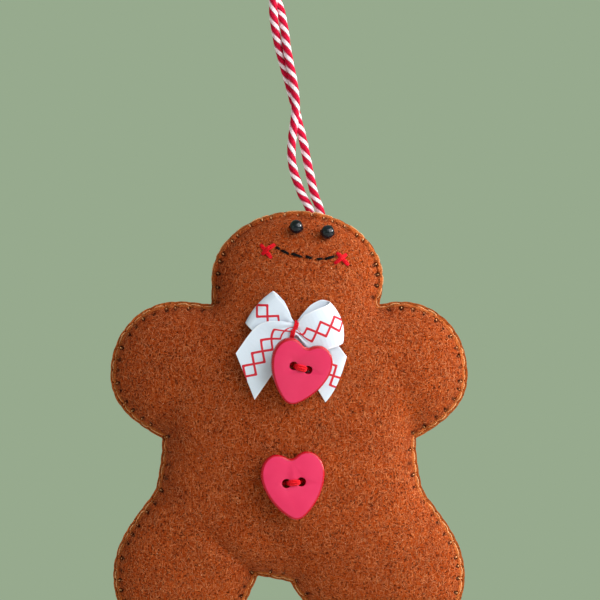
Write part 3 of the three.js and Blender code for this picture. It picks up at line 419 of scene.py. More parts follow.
def halfOutline(side):
    c = cutOut
    top = (c["headShift"], c["headTop"])
    temple = (c["headShift"] + side * c["headWidth"] / 2, c["headMid"])
    neck = (c["neckShift"] + side * c["neckWidth"] / 2, c["neckHeight"])
    shoulder = (side * c["armTopSpan"] / 2, c["armTop"])
    hand = (side * c["armSpan"] / 2, c["armTip"])
    armpit = (side * c["waistWidth"] / 2, c["armpit"])
    hip = (side * c["hipWidth"] / 2, c["hipHeight"])
    ankle = (side * c["legSpan"] / 2, c["legTip"])
    sole = (side * c["footSpan"] / 2, c["footBottom"])
    crotch = (c["crotchShift"] + side * c["crotchWidth"] / 2, c["crotchHeight"] - side * c["crotchSlant"])

    def bent(a, mid, b):
        return bezier(a, [a[k] + (mid[k] - a[k]) * 2 / 3 for k in (0, 1)],
                      [b[k] + (mid[k] - b[k]) * 2 / 3 for k in (0, 1)], b)

    return np.vstack([
        bezier(top, (c["headShift"] + side * c["headWidth"] / 2 * 0.5523, c["headTop"]),
               (temple[0], c["headMid"] + (c["headTop"] - c["headMid"]) * 0.5523), temple),
        bent(temple, (temple[0], (c["headMid"] + c["neckHeight"]) / 2), neck),
        bezier(neck, (neck[0] + side * 1.8, neck[1] + 0.3), (shoulder[0] - side * 2, c["armTop"]), shoulder),
        bezier(shoulder, (shoulder[0] + (hand[0] - shoulder[0]) * 0.58, c["armTop"]),
               (hand[0], c["armTip"] + (c["armTop"] - c["armTip"]) * 0.58), hand),
        bezier(hand, (hand[0], c["armTip"] - 7.1), (armpit[0] + side * 7, c["armpit"] + 3.8), armpit),
        bent(armpit, (armpit[0], (c["armpit"] + c["hipHeight"]) / 2), hip),
        bezier(hip, (hip[0] + side * 0.4, c["hipHeight"] - 4), (ankle[0], c["legTip"] + 10.9), ankle),
        bezier(ankle, (ankle[0], c["legTip"] - (c["legTip"] - c["footBottom"]) * 0.57),
               (sole[0] + (ankle[0] - sole[0]) * 0.57, c["footBottom"]), sole),
        bezier(sole, (side * 14, c["footBottom"]), (crotch[0] + side * 4.3, c["crotchHeight"] - 8.3), crotch),
    ])


outlineCurve = np.vstack([halfOutline(1), halfOutline(-1)[::-1]])
keepRow = np.r_[True, np.linalg.norm(np.diff(outlineCurve, axis=0), axis=1) > 1e-5]
outlineCurve = outlineCurve[keepRow]
outlineRing = evenly(outlineCurve, 0.45)[:-1]
outlineRun = lengthsAlong(np.vstack([outlineRing, outlineRing[:1]]))
outlineLength = outlineRun[-1]


def inwardOf(ring, reach):
    before, after = np.roll(ring, reach, axis=0), np.roll(ring, -reach, axis=0)
    way = after - before
    way /= np.linalg.norm(way, axis=1)[:, None]
    return np.column_stack([way[:, 1], -way[:, 0]])


outlineInward = inwardOf(outlineRing, 2)


def edgeDistance(points):
    a, b = outlineRing[::2], np.roll(outlineRing[::2], -1, axis=0)
    best = np.full(len(points), np.inf)
    for start, way in zip(a, b - a):
        t = np.clip(((points - start) @ way) / (way @ way), 0, 1)[:, None]
        best = np.minimum(best, np.linalg.norm(points - start - t * way, axis=1))
    return best


def insideOutline(points):
    x, z = points.T
    within = np.zeros(len(points), bool)
    for (xi, zi), (xj, zj) in zip(outlineRing[::2], np.roll(outlineRing[::2], 1, axis=0)):
        crosses = (zi > z) != (zj > z)
        within ^= crosses & (x < (xj - xi) * (z - zi) / ((zj - zi) or 1e-9) + xi)
    return within


def insetRing(distance):
    rows = []
    for i in range(len(outlineRing)):
        j = (i + 1) % len(outlineRing)
        first, second = outlineInward[i], outlineInward[j]
        parts = max(1, int(np.degrees(np.arccos(np.clip(first @ second, -1, 1))) // 12) + 1)
        for t in np.arange(parts) / parts:
            way = first * (1 - t) + second * t
            rows.append(outlineRing[i] * (1 - t) + outlineRing[j] * t + way / np.linalg.norm(way) * distance)
    rows = np.array(rows)
    return rows[edgeDistance(rows) > distance * 0.97]


def alongOutline(at, inset):
    at = np.asarray(at) % outlineLength
    ring = np.vstack([outlineRing, outlineRing[:1]])
    ways = np.vstack([outlineInward, outlineInward[:1]])
    point = np.column_stack([np.interp(at, outlineRun, ring[:, k]) for k in (0, 1)])
    way = np.column_stack([np.interp(at, outlineRun, ways[:, k]) for k in (0, 1)])
    return point + way / np.linalg.norm(way, axis=1)[:, None] * np.reshape(inset, (-1, 1))


# share of the way up from one height to another
def riseOf(height, low, high):
    return np.clip((height - low) / (high - low), 0, 1)


def nearest(points, others):
    return np.array([np.min(np.hypot(*(others - p).T)) for p in points])


# blanket stitch round the edge: one hole each pitch, worked by hand so a little uneven
seam = {
    "pitch": 3.1, "holeInset": 1.7, "headDraw": 0.3, "crownDraw": 0.5, "purlInset": 0.06, "radius": 0.18, "purl": 0.14,
    "uneven": 0.4, "unevenInset": 0.15, "thread": ((0.55, 0.20, 0.055), (1.0, 0.52, 0.22)),
    # a leg out of its hole and over the edge: inset past the hole, depth under the felt's face
    "leg": [(0.2, 1.3), (0.15, 0.75), (0.04, 0.4), (-0.13, 0.38), (-0.27, 0.64), (-0.34, 1.1)],
    "legEnd": (0.7, 1.32), "legLean": 0.3,
    # the purl dips at each leg, wanders between them and hops over the twine
    "dip": (0.4, 0.5), "wander": 0.45, "hop": (1.25, 2.9),
}
# heights over which the head's narrower edge begins, and the crown's stitches nearer to that edge
neckRise, crownRise = (33, 38), (41, 50)
stitchCount = round(outlineLength / seam["pitch"])
wobble = dice.uniform(-1, 1, stitchCount) * seam["uneven"] / 2
stitchAt = (np.arange(stitchCount) + wobble) * outlineLength / stitchCount
stitchHigh = alongOutline(stitchAt, 0)[:, 1]
stitchInset = seam["holeInset"] - seam["headDraw"] * riseOf(stitchHigh, 34, 38)
stitchInset -= seam["crownDraw"] * riseOf(stitchHigh, *crownRise)
stitchInset += dice.uniform(-1, 1, stitchCount) * seam["unevenInset"]
seamHoles = alongOutline(stitchAt, stitchInset)


def fromStitch(at):
    gap = np.abs((np.asarray(at)[:, None] - stitchAt[None] + outlineLength / 2) % outlineLength - outlineLength / 2)
    return gap.min(axis=1)


# face stitches, each from one needle hole to the next, right and up from the waist
mouth = {"stitches": [[(-3.1, 46.2), (-2.2, 45.75)], [(-1.9, 45.5), (-0.1, 44.6)], [(0.5, 44.7), (3.1, 43.85)],
                      [(3.85, 44.05), (5.5, 43.5)], [(6.5, 43.25), (8.0, 43.45)], [(8.55, 43.35), (11.1, 44.05)]],
         "strands": 2, "radius": 0.17, "short": 0.12}
for stitch in mouth["stitches"]:
    gap = mouth["short"] * (np.array(stitch[1]) - stitch[0]) / math.dist(*stitch)
    stitch[:] = np.array(stitch[0]) + gap, np.array(stitch[1]) - gap
cheeks = {"left": [((-6.8, 46.9), (-4.2, 43.6)), ((-3.4, 46.9), (-6.45, 44.5))],
          "right": [((11.4, 44.9), (14.2, 41.9)), ((13.8, 44.6), (10.9, 42.3))],
          "strands": 3, "radius": 0.18, "lift": 0.42}
faceHoles = np.array([end for bar in mouth["stitches"] + cheeks["left"] + cheeks["right"] for end in bar])

felt = {
    "thick": 1.2, "half": 0.15, "puff": 0.588, "soften": 1.2, "rim": 2.2, "ledge": 0.72, "headLedge": 0.14,
    "grid": 1.1, "holeRings": (0.2, 0.4, 0.62), "holeFree": 0.7,
    "insets": (0.32, 0.66, 1.0, 1.32, 1.64, 1.92, 2.2, 2.6, 3.2),
    "pitDepth": 0.7, "pitWidth": 0.45, "facePit": 0.2, "edgeWander": 0.12, "pull": 0.12,
    "lumps": 0.25, "lumpSizes": [(0.085, 5, 1), (0.21, 9, 0.4), (0.7, 9, 0.12)],
    "lip": 0.68, "lipRound": 0.45, "valley": 0.34, "valleyAt": 2.05, "valleyWidth": 0.45,
    "ridge": {"high": 0.16, "at": 0.55, "wide": 0.4},
    # the fold at the left leg and the softer valleys that run up from the armpits
    "creases": [
        {"from": (-6.6, -33.0), "to": (-23.5, -19.0), "depth": 2.6, "bulge": 0.6, "width": 1.0},
        {"from": (29.6, 1.4), "to": (24.6, 21.0), "depth": 1.1, "bulge": 0.2, "width": 1.5},
        {"from": (-29.9, 1.6), "to": (-25.5, 17.0), "depth": 0.9, "bulge": 0.15, "width": 1.4},
    ],
    "creaseSides": (2.0, 2.3), "creaseSwells": [(4.2, 2.6, 1), (-4.6, 2.4, 0.6)],
    "twineBulge": {"at": 6.3, "reach": 2.7, "out": 0.55, "lap": 0.5, "lapReach": 3.2},
}


def hexGrid(step):
    rows = np.arange(-52, 57, step * 0.866)
    columns = np.arange(-45, 45, step)
    spots = np.array([(x + (i % 2) * step / 2, z) for i, z in enumerate(rows) for x in columns])
    return spots + dice.uniform(-0.12, 0.12, spots.shape) * step


# height of an evenly stuffed skin over the triangles, zero at the sewn rim
def swellOf(points, triangles, fixed):
    a, b, c = (points[triangles[:, k]] for k in range(3))
    area = np.abs((b[:, 0] - a[:, 0]) * (c[:, 1] - a[:, 1]) - (c[:, 0] - a[:, 0]) * (b[:, 1] - a[:, 1])) / 2
    area = np.maximum(area, 1e-6)
    load = np.bincount(triangles.ravel(), np.repeat(area / 3, 3), len(points))
    rows, columns, weights = [], [], []
    for k in range(3):
        i, j, o = triangles[:, k], triangles[:, (k + 1) % 3], points[triangles[:, (k + 2) % 3]]
        weight = np.maximum(np.sum((points[i] - o) * (points[j] - o), axis=1) / (4 * area), 1e-3)
        rows += [i, j]
        columns += [j, i]
        weights += [weight, weight]
    rows, columns, weights = map(np.concatenate, (rows, columns, weights))
    total = np.bincount(rows, weights, len(points))
    free = ~fixed

    def pull(x):
        return np.where(free, total * x - np.bincount(rows, weights * x[columns], len(points)), 0)

    level = np.zeros(len(points))
    rest = np.where(free, load, 0)
    way = rest / total
    strength = rest @ way
    for turn in range(900):
        answer = pull(way)
        share = strength / (way @ answer)
        level += share * way
        rest = rest - share * answer
        ready = rest / total
        after = rest @ ready
        if after < 1e-9:
            break
        way = ready + way * after / strength
        strength = after
    level = np.maximum(level, 0)
    return felt["puff"] * level / np.sqrt(level + felt["soften"])


# triangles over the points, all turned alike, cut along the loop that the first points make
def netOver(spots, edgeCount):
    loop = [(i, (i + 1) % edgeCount) for i in range(edgeCount)]
    flat, _, faces, *_ = delaunay_2d_cdt([Vector(p) for p in spots], loop, [], 1, 1e-4)
    points, triangles = np.array([tuple(p) for p in flat]), np.array(faces)
    a, b, c = (points[triangles[:, k]] for k in range(3))
    wrong = (b[:, 0] - a[:, 0]) * (c[:, 1] - a[:, 1]) - (c[:, 0] - a[:, 0]) * (b[:, 1] - a[:, 1]) < 0
    triangles[wrong] = triangles[wrong][:, ::-1]
    return points, triangles


# how far the front felt stops short of the back felt's edge; near the twine it laps over it
def ledgeAt(points, side=-1):
    if side > 0:
        return np.zeros(len(points))
    head = riseOf(points[:, 1], *neckRise)
    bulge = felt["twineBulge"]
    twined = np.exp(-((points[:, 0] - bulge["at"]) / bulge["lapReach"]) ** 2) * (points[:, 1] > 48)
    wander = np.array([noise.noise((p[0] * 0.16, 4.0, p[1] * 0.16)) for p in points])
    ledge = felt["ledge"] + (felt["headLedge"] - felt["ledge"]) * head + (0.25 - 0.15 * head) * wander
    return np.maximum(ledge - bulge["lap"] * twined, 0.03)


# points for a panel's net: the cut edge, rings inside it, rings round the holes and a loose grid
def panelSpots(side, holes):
    wander = np.array([noise.noise((p[0] * 0.35, side * 3.0, p[1] * 0.35)) for p in outlineRing]) * felt["edgeWander"]
    wander += felt["pull"] * np.exp(-(fromStitch(outlineRun[:-1]) / 0.6) ** 2)
    edge = outlineRing + outlineInward * np.maximum(ledgeAt(outlineRing, side) + wander, 0)[:, None]
    spots = [edge]
    for inset in felt["insets"]:
        ring = insetRing(inset)
        ring = ring[nearest(ring, holes) > felt["holeFree"]]
        spots.append(ring[ledgeAt(ring, side) < inset - 0.28])
    turn = np.linspace(0, 2 * np.pi, 9)[:-1]
    around = np.column_stack([np.cos(turn), np.sin(turn)])
    rounds = np.vstack([hole + r * around for hole in holes for r in felt["holeRings"]])
    spots.append(rounds[edgeDistance(rounds) > 0.35 + ledgeAt(rounds, side)])
    spots.append(holes)
    grid = hexGrid(felt["grid"])
    grid = grid[insideOutline(grid) & (edgeDistance(grid) > felt["insets"][-1] + 0.5)]
    spots.append(grid[nearest(grid, np.vstack(spots)) > 0.6])
    return np.vstack(spots), len(edge)


# a felt panel: inner and outer skins over one net of triangles, closed along the cut edge
def feltPanel(side):
    holes = np.vstack([seamHoles, faceHoles]) if side < 0 else seamHoles
    points, triangles = netOver(*panelSpots(side, holes))
    depth = edgeDistance(points)
    ledge = ledgeAt(points, side)
    dome = swellOf(points, triangles, depth < felt["rim"] + 0.02)
    if side < 0:
        dome = dome + np.maximum(creaseAt(points), -0.75 * dome)
    inner = np.column_stack([points[:, 0], side * (felt["half"] + dome), points[:, 1]])
    cross = np.cross(inner[triangles[:, 1]] - inner[triangles[:, 0]], inner[triangles[:, 2]] - inner[triangles[:, 0]])
    normals = np.zeros_like(inner)
    for k in range(3):
        np.add.at(normals, triangles[:, k], -side * cross)
    normals[depth < felt["rim"] - 0.05] = (0, side, 0)
    normals /= np.linalg.norm(normals, axis=1)[:, None]
    base = inner + normals * felt["thick"]
    pit = np.zeros(len(points))
    for i, hole in enumerate(holes):
        gap = np.hypot(base[:, 0] - hole[0], base[:, 2] - hole[1])
        wide = felt["pitWidth" if i < stitchCount else "facePit"]
        wide *= 1 + 0.3 * noise.noise((hole[0] * 0.9, side * 2.0, hole[1] * 0.9))
        deep = 1 - 0.4 * riseOf(hole[1], *crownRise)  # the crown's stitches are drawn less tight
        pit = np.maximum(pit, deep * np.exp(-(gap / wide) ** 2))
    lumps = np.array([sum(share * noise.noise((p[0] * fine, side * row, p[1] * fine))
                          for fine, row, share in felt["lumpSizes"]) for p in points])
    lumps *= felt["lumps"] * np.clip((depth - felt["rim"]) / 4, 0, 1)
    sewn = np.exp(-(nearest(points, seamHoles) / 1.1) ** 2)
    lip = -felt["lip"] * felt["thick"] * np.exp(-((depth - ledge) / felt["lipRound"]) ** 2)
    ridge = felt["ridge"]
    lip += ridge["high"] * (1 - sewn) * np.exp(-((depth - ledge - ridge["at"]) / ridge["wide"]) ** 2)
    head = riseOf(points[:, 1], *neckRise)
    valley = -felt["valley"] * (1 - 0.7 * head) * (0.4 + 0.6 * sewn)
    valley *= np.exp(-((depth - felt["valleyAt"] + 0.4 * head) / felt["valleyWidth"]) ** 2)
    lift = lumps + lip + valley - felt["pitDepth"] * pit
    outer = base + normals * lift[:, None]
    bulge = felt["twineBulge"]
    push = np.exp(-((points[:, 0] - bulge["at"]) / bulge["reach"]) ** 2) * riseOf(points[:, 1], 50.5, 53.5)
    outer[:, 1] += side * bulge["out"] * push
    inner[:, 1] += side * bulge["out"] * push
    # a band along the cut edge, kept for the material to paint light on
    paintedEdgeLight = np.exp(-(np.maximum(depth - ledge, 0) / 0.55) ** 2)
    return {"points": points, "triangles": triangles, "inner": inner, "outer": outer, "pit": pit, "paintedEdgeLight": paintedEdgeLight,
            "depth": depth - ledge, "side": side}


# dents of the creases, with the felt swelling a little beside each
def creaseAt(points):
    total = np.zeros(len(points))
    for words in felt["creases"]:
        start, end = np.array(words["from"]), np.array(words["to"])
        way = (end - start) / np.linalg.norm(end - start)
        t = (points - start) @ way / np.linalg.norm(end - start)
        across = (points - start) @ np.array([way[1], -way[0]]) / words["width"]
        fade = np.clip(1 - t, 0, 1) ** 0.9 * np.clip((t + 0.25) / 0.3, 0, 1)
        valley = np.exp(-(across / np.where(across > 0, *felt["creaseSides"])) ** 2)
        swell = sum(share * np.exp(-((across - at) / wide) ** 2) for at, wide, share in felt["creaseSwells"])
        total += fade * (words["bulge"] * swell - words["depth"] * valley)
    return total


def panelPiece(panel, name):
    count = len(panel["points"])
    flip = panel["side"] > 0
    outerFaces = panel["triangles"][:, ::-1] if flip else panel["triangles"]
    innerFaces = (panel["triangles"] if flip else panel["triangles"][:, ::-1]) + count
    links = np.vstack([panel["triangles"][:, [0, 1]], panel["triangles"][:, [1, 2]], panel["triangles"][:, [2, 0]]])
    held = {tuple(p) for p in links.tolist()}
    walls = []
    for i, j in held:
        if (j, i) not in held:
            walls.append((j, i, i + count, j + count) if not flip else (i, j, j + count, i + count))
    piece = newPiece(name, np.vstack([panel["outer"], panel["inner"]]) + figureAt,
                     outerFaces.tolist() + innerFaces.tolist() + sorted(walls))
    # the stitch pits go to the material for painted shade, and the band along the cut edge for painted light
    for label, key in (("stitchPitShade", "pit"), ("cutEdge", "paintedEdgeLight")):
        mark = piece.data.attributes.new(label, "FLOAT", "POINT")
        mark.data.foreach_set("value", np.r_[panel[key], panel[key] * (key == "paintedEdgeLight")].astype(np.float32))
    return piece


def feltMaterial():
    material, shader, place, _ = newMaterial("gingerFelt")
    cloud = place.grain(95, 3, 0.6)
    upright = place.stretch((3400, 3400, 900)).grain(1, 3, 0.7)
    slanted = place.stretch((1000, 3000, 3000), (0, 0.6, 0.3)).grain(1, 3, 0.7)
    pores = place.grain(2300, 2, 0.6)
    patch = place.grain(900, 3, 0.6)
    flecks = place.make("ShaderNodeTexVoronoi", {"feature": "F1"}, {"Vector": place, "Scale": 330, "Randomness": 1})
    dark = (0.45 - pores).step(0, 0.1)
    bright = (0.06 - flecks).step(0, 0.03)
    strands = upright.sum("MAXIMUM", slanted)
    tone = cloud.step(0.3, 0.7).tint((0.305, 0.037, 0.0026), (0.37, 0.050, 0.0038))
    tone = (strands.step(0.5, 0.72) * 0.7).tint(tone, (0.74, 0.245, 0.080))
    tone = (patch.step(0.5, 0.7) * 0.22).tint(tone, (0.15, 0.019, 0.002))
    # painted shade: the felt's pores are painted near-black, as the shade inside them
    tone = (dark * 0.8).tint(tone, (0.060, 0.006, 0.001))
    tone = (bright * 0.8).tint(tone, (0.85, 0.50, 0.28))
    # painted light: the band along the cut edge is painted paler orange, as if lit
    tone = (attributeOf(place, "cutEdge") * 0.6).tint(tone, (0.56, 0.165, 0.035))
    # painted shade: the dimples round the stitch holes are painted near-black
    tone = (attributeOf(place, "stitchPitShade").step(0.12, 0.55) * 0.95).tint(tone, (0.03, 0.004, 0.001))
    height = strands * 0.9 + patch * 0.4 - dark * 0.8
    feed(shader, {"Base Color": tone, "Roughness": 0.9, "Specular IOR Level": 0.1,
                  "Normal": height.bump(0.9, 0.0005)})
    return material


gingerFelt = feltMaterial()
front = feltPanel(-1)
back = feltPanel(1)
frontFelt = panelPiece(front, "frontFelt")
backFelt = panelPiece(back, "backFelt")
dress(frontFelt, gingerFelt, ["front_felt"], angle=50)
dress(backFelt, gingerFelt, ["back_felt"], angle=50)
print("felt panels", len(frontFelt.data.polygons), len(backFelt.data.polygons))

frontSkin = BVHTree.FromPolygons(front["outer"].tolist(), front["triangles"].tolist())


# where the front felt's face lies at right and up from the waist
def feltDepth(x, z):
    hit = frontSkin.ray_cast(Vector((x, -60, z)), Vector((0, 1, 0)))[0]
    return hit.y if hit else -felt["half"] - felt["thick"]


# the point of the felt there, with the way out of the felt
def feltSpot(x, z, reach=0.8):
    slopeX = (feltDepth(x + reach, z) - feltDepth(x - reach, z)) / (2 * reach)
    slopeZ = (feltDepth(x, z + reach) - feltDepth(x, z - reach)) / (2 * reach)
    out = np.array([slopeX, -1, slopeZ])
    return np.array([x, feltDepth(x, z), z]), out / np.linalg.norm(out)


# filling: one soft wad inside both panels
def makeFilling():
    edge = insetRing(felt["rim"] + 0.5)[::3]
    grid = hexGrid(2.4)
    grid = grid[insideOutline(grid) & (edgeDistance(grid) > felt["rim"] + 2)]
    points, triangles = netOver(np.vstack([edge, grid]), len(edge))
    dome = 0.92 * swellOf(points, triangles, edgeDistance(points) < felt["rim"] + 0.6) - 0.1
    rough = np.array([0.3 * noise.noise((p[0] * 0.6, 2.0, p[1] * 0.6)) for p in points])
    dome = np.maximum(dome + rough * np.clip(dome, 0, 1) - 0.2, 0.02)
    dented = dome + np.clip(creaseAt(points), -0.85 * dome, 0)
    skin = np.column_stack([points[:, 0], -dented, points[:, 1]])
    other = np.column_stack([points[:, 0], dome, points[:, 1]])
    panel = {"points": points, "triangles": triangles, "outer": skin, "inner": other, "side": -1,
             "pit": np.zeros(len(points)), "paintedEdgeLight": np.zeros(len(points))}
    return panelPiece(panel, "fibreFilling")


def fillingMaterial():
    material, shader, place, _ = newMaterial("fibreFilling")
    hair = place.stretch((900, 900, 260), (0.4, 0.9, 0.2)).grain(1, 5, 0.7)
    tone = hair.step(0.3, 0.7).tint((0.62, 0.60, 0.54), (0.88, 0.87, 0.83))
    feed(shader, {"Base Color": tone, "Roughness": 1.0, "Normal": hair.bump(0.8, 0.0006)})
    return material


filling = makeFilling()
dress(filling, fillingMaterial(), [n for n in frame["nodes"] if n.startswith("stuffing_")])
print("filling", len(filling.data.polygons))


# thread whose plies show as slanting lines
def threadMaterial(name, dark, light, twist=0.75, rough=0.6, sheen=0.3, gloss=0.5):
    material, shader, place, uv = newMaterial(name)
    around, along = mapParts(uv)
    wave = ((around + along / twist) * (4 * math.pi)).sum("SINE", 0)
    hair = place.grain(2600, 3, 0.6)
    height = wave * 0.5 + hair
    tone = (wave * 0.22 + hair).step(0.25, 0.8).tint(dark, light)
    feed(shader, {"Base Color": tone, "Roughness": rough, "Sheen Weight": sheen, "Sheen Roughness": 0.4,
                  "Specular IOR Level": gloss, "Normal": height.bump(0.5, 0.00012)})
    return material


goldThread = threadMaterial("gingerThread", *seam["thread"], sheen=0.05)
blackFloss = threadMaterial("blackFloss", (0.002, 0.0018, 0.002), (0.011, 0.010, 0.010),
                            rough=0.7, sheen=0.0, gloss=0.1)
redFloss = threadMaterial("redFloss", (0.56, 0.0015, 0.008), (0.88, 0.006, 0.022),
                          rough=0.55, sheen=0.02, gloss=0.15)


# edge stitches: the purl lies on the ledge, and each leg shows only where it goes into its hole
def makeSeam():
    paths = []
    at = np.arange(0, outlineLength + 1, 0.42)
    apart = fromStitch(at)
    lip = ledgeAt(alongOutline(at, 0))
    deep, near = seam["dip"]
    inset = lip - seam["purlInset"] + deep * np.exp(-(apart / near) ** 2)
    inset = np.maximum(inset + [seam["wander"] * noise.noise((k * 0.22, 2.0, 5.0)) for k in at], 0.08)
    line = alongOutline(at, inset)
    bulge = felt["twineBulge"]
    high, reach = seam["hop"]
    hop = high * np.exp(-((line[:, 0] - bulge["at"]) / reach) ** 2) * (line[:, 1] > 45)
    shown = np.clip((lip - inset) / 0.2 + 0.5, 0, 1)
    y = -(felt["half"] + seam["purl"]) * shown - hop
    paths.append(np.column_stack([line[:, 0], y, line[:, 1]]))
    rim = felt["half"] + felt["thick"]
    for where, hole in zip(stitchAt, stitchInset):
        lean = random.uniform(-seam["legLean"], seam["legLean"])
        spot = alongOutline([where], [hole])[0]
        over = bulge["out"] * math.exp(-((spot[0] - bulge["at"]) / bulge["reach"]) ** 2) if spot[1] > 45 else 0
        leg = np.array([(hole + past, deep) for past, deep in seam["leg"]] + [seam["legEnd"]])
        flat = alongOutline(where + np.linspace(0, lean, len(leg)), leg[:, 0])
        for side in (-1, 1):
            y = side * (rim + over - leg[:, 1])
            paths.append(smoothPath(np.column_stack([flat[:, 0], y, flat[:, 1]]), 3))
    thick = [seam["purl"]] + [seam["radius"]] * (len(paths) - 1)
    return threadPiece("blanketStitch", [p + figureAt for p in paths], thick, 6)


blanketStitch = makeSeam()
dress(blanketStitch, goldThread, ["seam_thread"])
print("blanket stitch", stitchCount)


# a bar of floss from hole to hole: strands side by side, dipping into the felt at both ends
floss = {
    "packed": 0.88, "uneven": 0.03, "stagger": 0.1,
    # share of the way, height over the felt, spread of the strands
    "profile": [(0.02, -0.75, 0.35), (0.0, -0.15, 0.5), (0.06, 0.12, 0.75), (0.25, 0.2, 1), (0.5, 0.22, 1),
                (0.75, 0.2, 1), (0.94, 0.12, 0.75), (1.0, -0.15, 0.5), (0.98, -0.75, 0.35)],
}


def flossBar(start, end, strands, radius, lift=0.0):
    start, end = np.array(start), np.array(end)
    way = (end - start) / np.linalg.norm(end - start)
    aside = np.array([-way[1], way[0]])
    paths = []
    for k in range(strands):
        shift = (k - (strands - 1) / 2) * 2 * radius * floss["packed"]
        rows = []
        for t, high, wide in floss["profile"]:
            uneven = random.uniform(-floss["uneven"], floss["uneven"])
            x, z = start + (end - start) * t + aside * (shift * wide + uneven)
            spot, out = feltSpot(x, z)
            hump = lift * math.exp(-((t - 0.5) / 0.22) ** 2)
            rows.append(spot + out * (high + hump + (floss["stagger"] if k % 2 else 0) * (high > 0)))
        paths.append(smoothPath(rows, 4) + figureAt)
    return paths


mouthPaths = []
for start, end in mouth["stitches"]:
    mouthPaths += flossBar(start, end, mouth["strands"], mouth["radius"])
dress(threadPiece("mouthStitch", mouthPaths, mouth["radius"]), blackFloss, ["mouth_thread"])
for name in ("left", "right"):
    under, upper = cheeks[name]
    paths = flossBar(*under, cheeks["strands"], cheeks["radius"])
    paths += flossBar(*upper, cheeks["strands"], cheeks["radius"], lift=cheeks["lift"])
    cross = threadPiece(name + "CheekCross", paths, cheeks["radius"])
    dress(cross, redFloss, ["cheek_cross_" + name])
print("mouth and cheeks are stitched")


# eye beads: round glass seed beads, bored across, each on its own thread
eyes = {"radius": 1.7, "bore": 0.5, "thread": 0.15, "tilt": -9.5, "flat": 0.94, "gap": 0.05, "uneven": 0.035,
        "places": {"left": (1.75, 51.13), "right": (9.25, 49.87)}}


def makeBead(name, x, z):
    rest = eyes["radius"] + eyes["gap"]
    foot = np.array([x, z])
    for turn in range(4):
        spot, out = feltSpot(*foot, reach=1.2)
        foot = np.array([x, z]) - out[[0, 2]] * rest
    tilt = math.radians(eyes["tilt"])
    along = np.array([math.cos(tilt), 0, math.sin(tilt)])
    along = along - out * along.dot(out)
    along /= np.linalg.norm(along)
    middle = spot + out * rest + figureAt
    clearSelection()
    bpy.ops.mesh.primitive_uv_sphere_add(segments=48, ring_count=28, radius=eyes["radius"] * mm)
    bead = bpy.context.object
    bead.name = name
    bpy.ops.object.mode_set(mode="EDIT")
    bpy.ops.mesh.select_all(action="SELECT")
    bpy.ops.transform.resize(value=(1, 1, eyes["flat"]))
    bpy.ops.object.mode_set(mode="OBJECT")
    drillHole(bead, eyes["bore"] * mm, 6 * mm, 24)
    useModifier(bead, "BEVEL", width=0.0001, segments=3, limit_method="ANGLE", angle_limit=math.radians(35))
    for vertex in bead.data.vertices:
        vertex.co *= 1 + eyes["uneven"] * noise.noise(vertex.co * 700 + Vector((x, 0, z)))
    bead.data.transform(Matrix((np.cross(out, along), out, along)).transposed().to_4x4())
    bead.data.transform(Matrix.Translation(Vector(middle * mm)))
    bead.data.update()
    side = eyes["radius"]
    rows = [spot + along * k * side + out * high for k, high in ((-0.62, -1.0), (-0.8, 0.3))]
    rows += [middle - figureAt + along * k * side for k in (-0.93, -0.4, 0.4, 0.93)]
    rows += [spot + along * k * side + out * high for k, high in ((0.8, 0.3), (0.62, -1.0))]
    return bead, smoothPath(rows, 6) + figureAt


def beadMaterial():
    material, shader, place, _ = newMaterial("blackBead")
    haze = place.grain(500, 3, 0.6)
    # the black is tinted blue, a painted reflection of a pale sky
    tone = haze.step(0.3, 0.8).tint((0.002, 0.003, 0.006), (0.005, 0.010, 0.019))
    feed(shader, {"Base Color": tone, "Roughness": haze.step(0.3, 0.9) * 0.05 + 0.04, "IOR": 1.42,
                  "Normal": haze.bump(0.06, 0.0002)})
    return material


blackBead = beadMaterial()
for name, (x, z) in eyes["places"].items():
    bead, path = makeBead(name + "EyeBead", x, z)
    dress(bead, blackBead, ["eye_bead_" + name], angle=40)
    thread = threadPiece(name + "EyeThread", [path], eyes["thread"])
    dress(thread, blackFloss, ["eye_thread_" + name])
print("eyes are on")


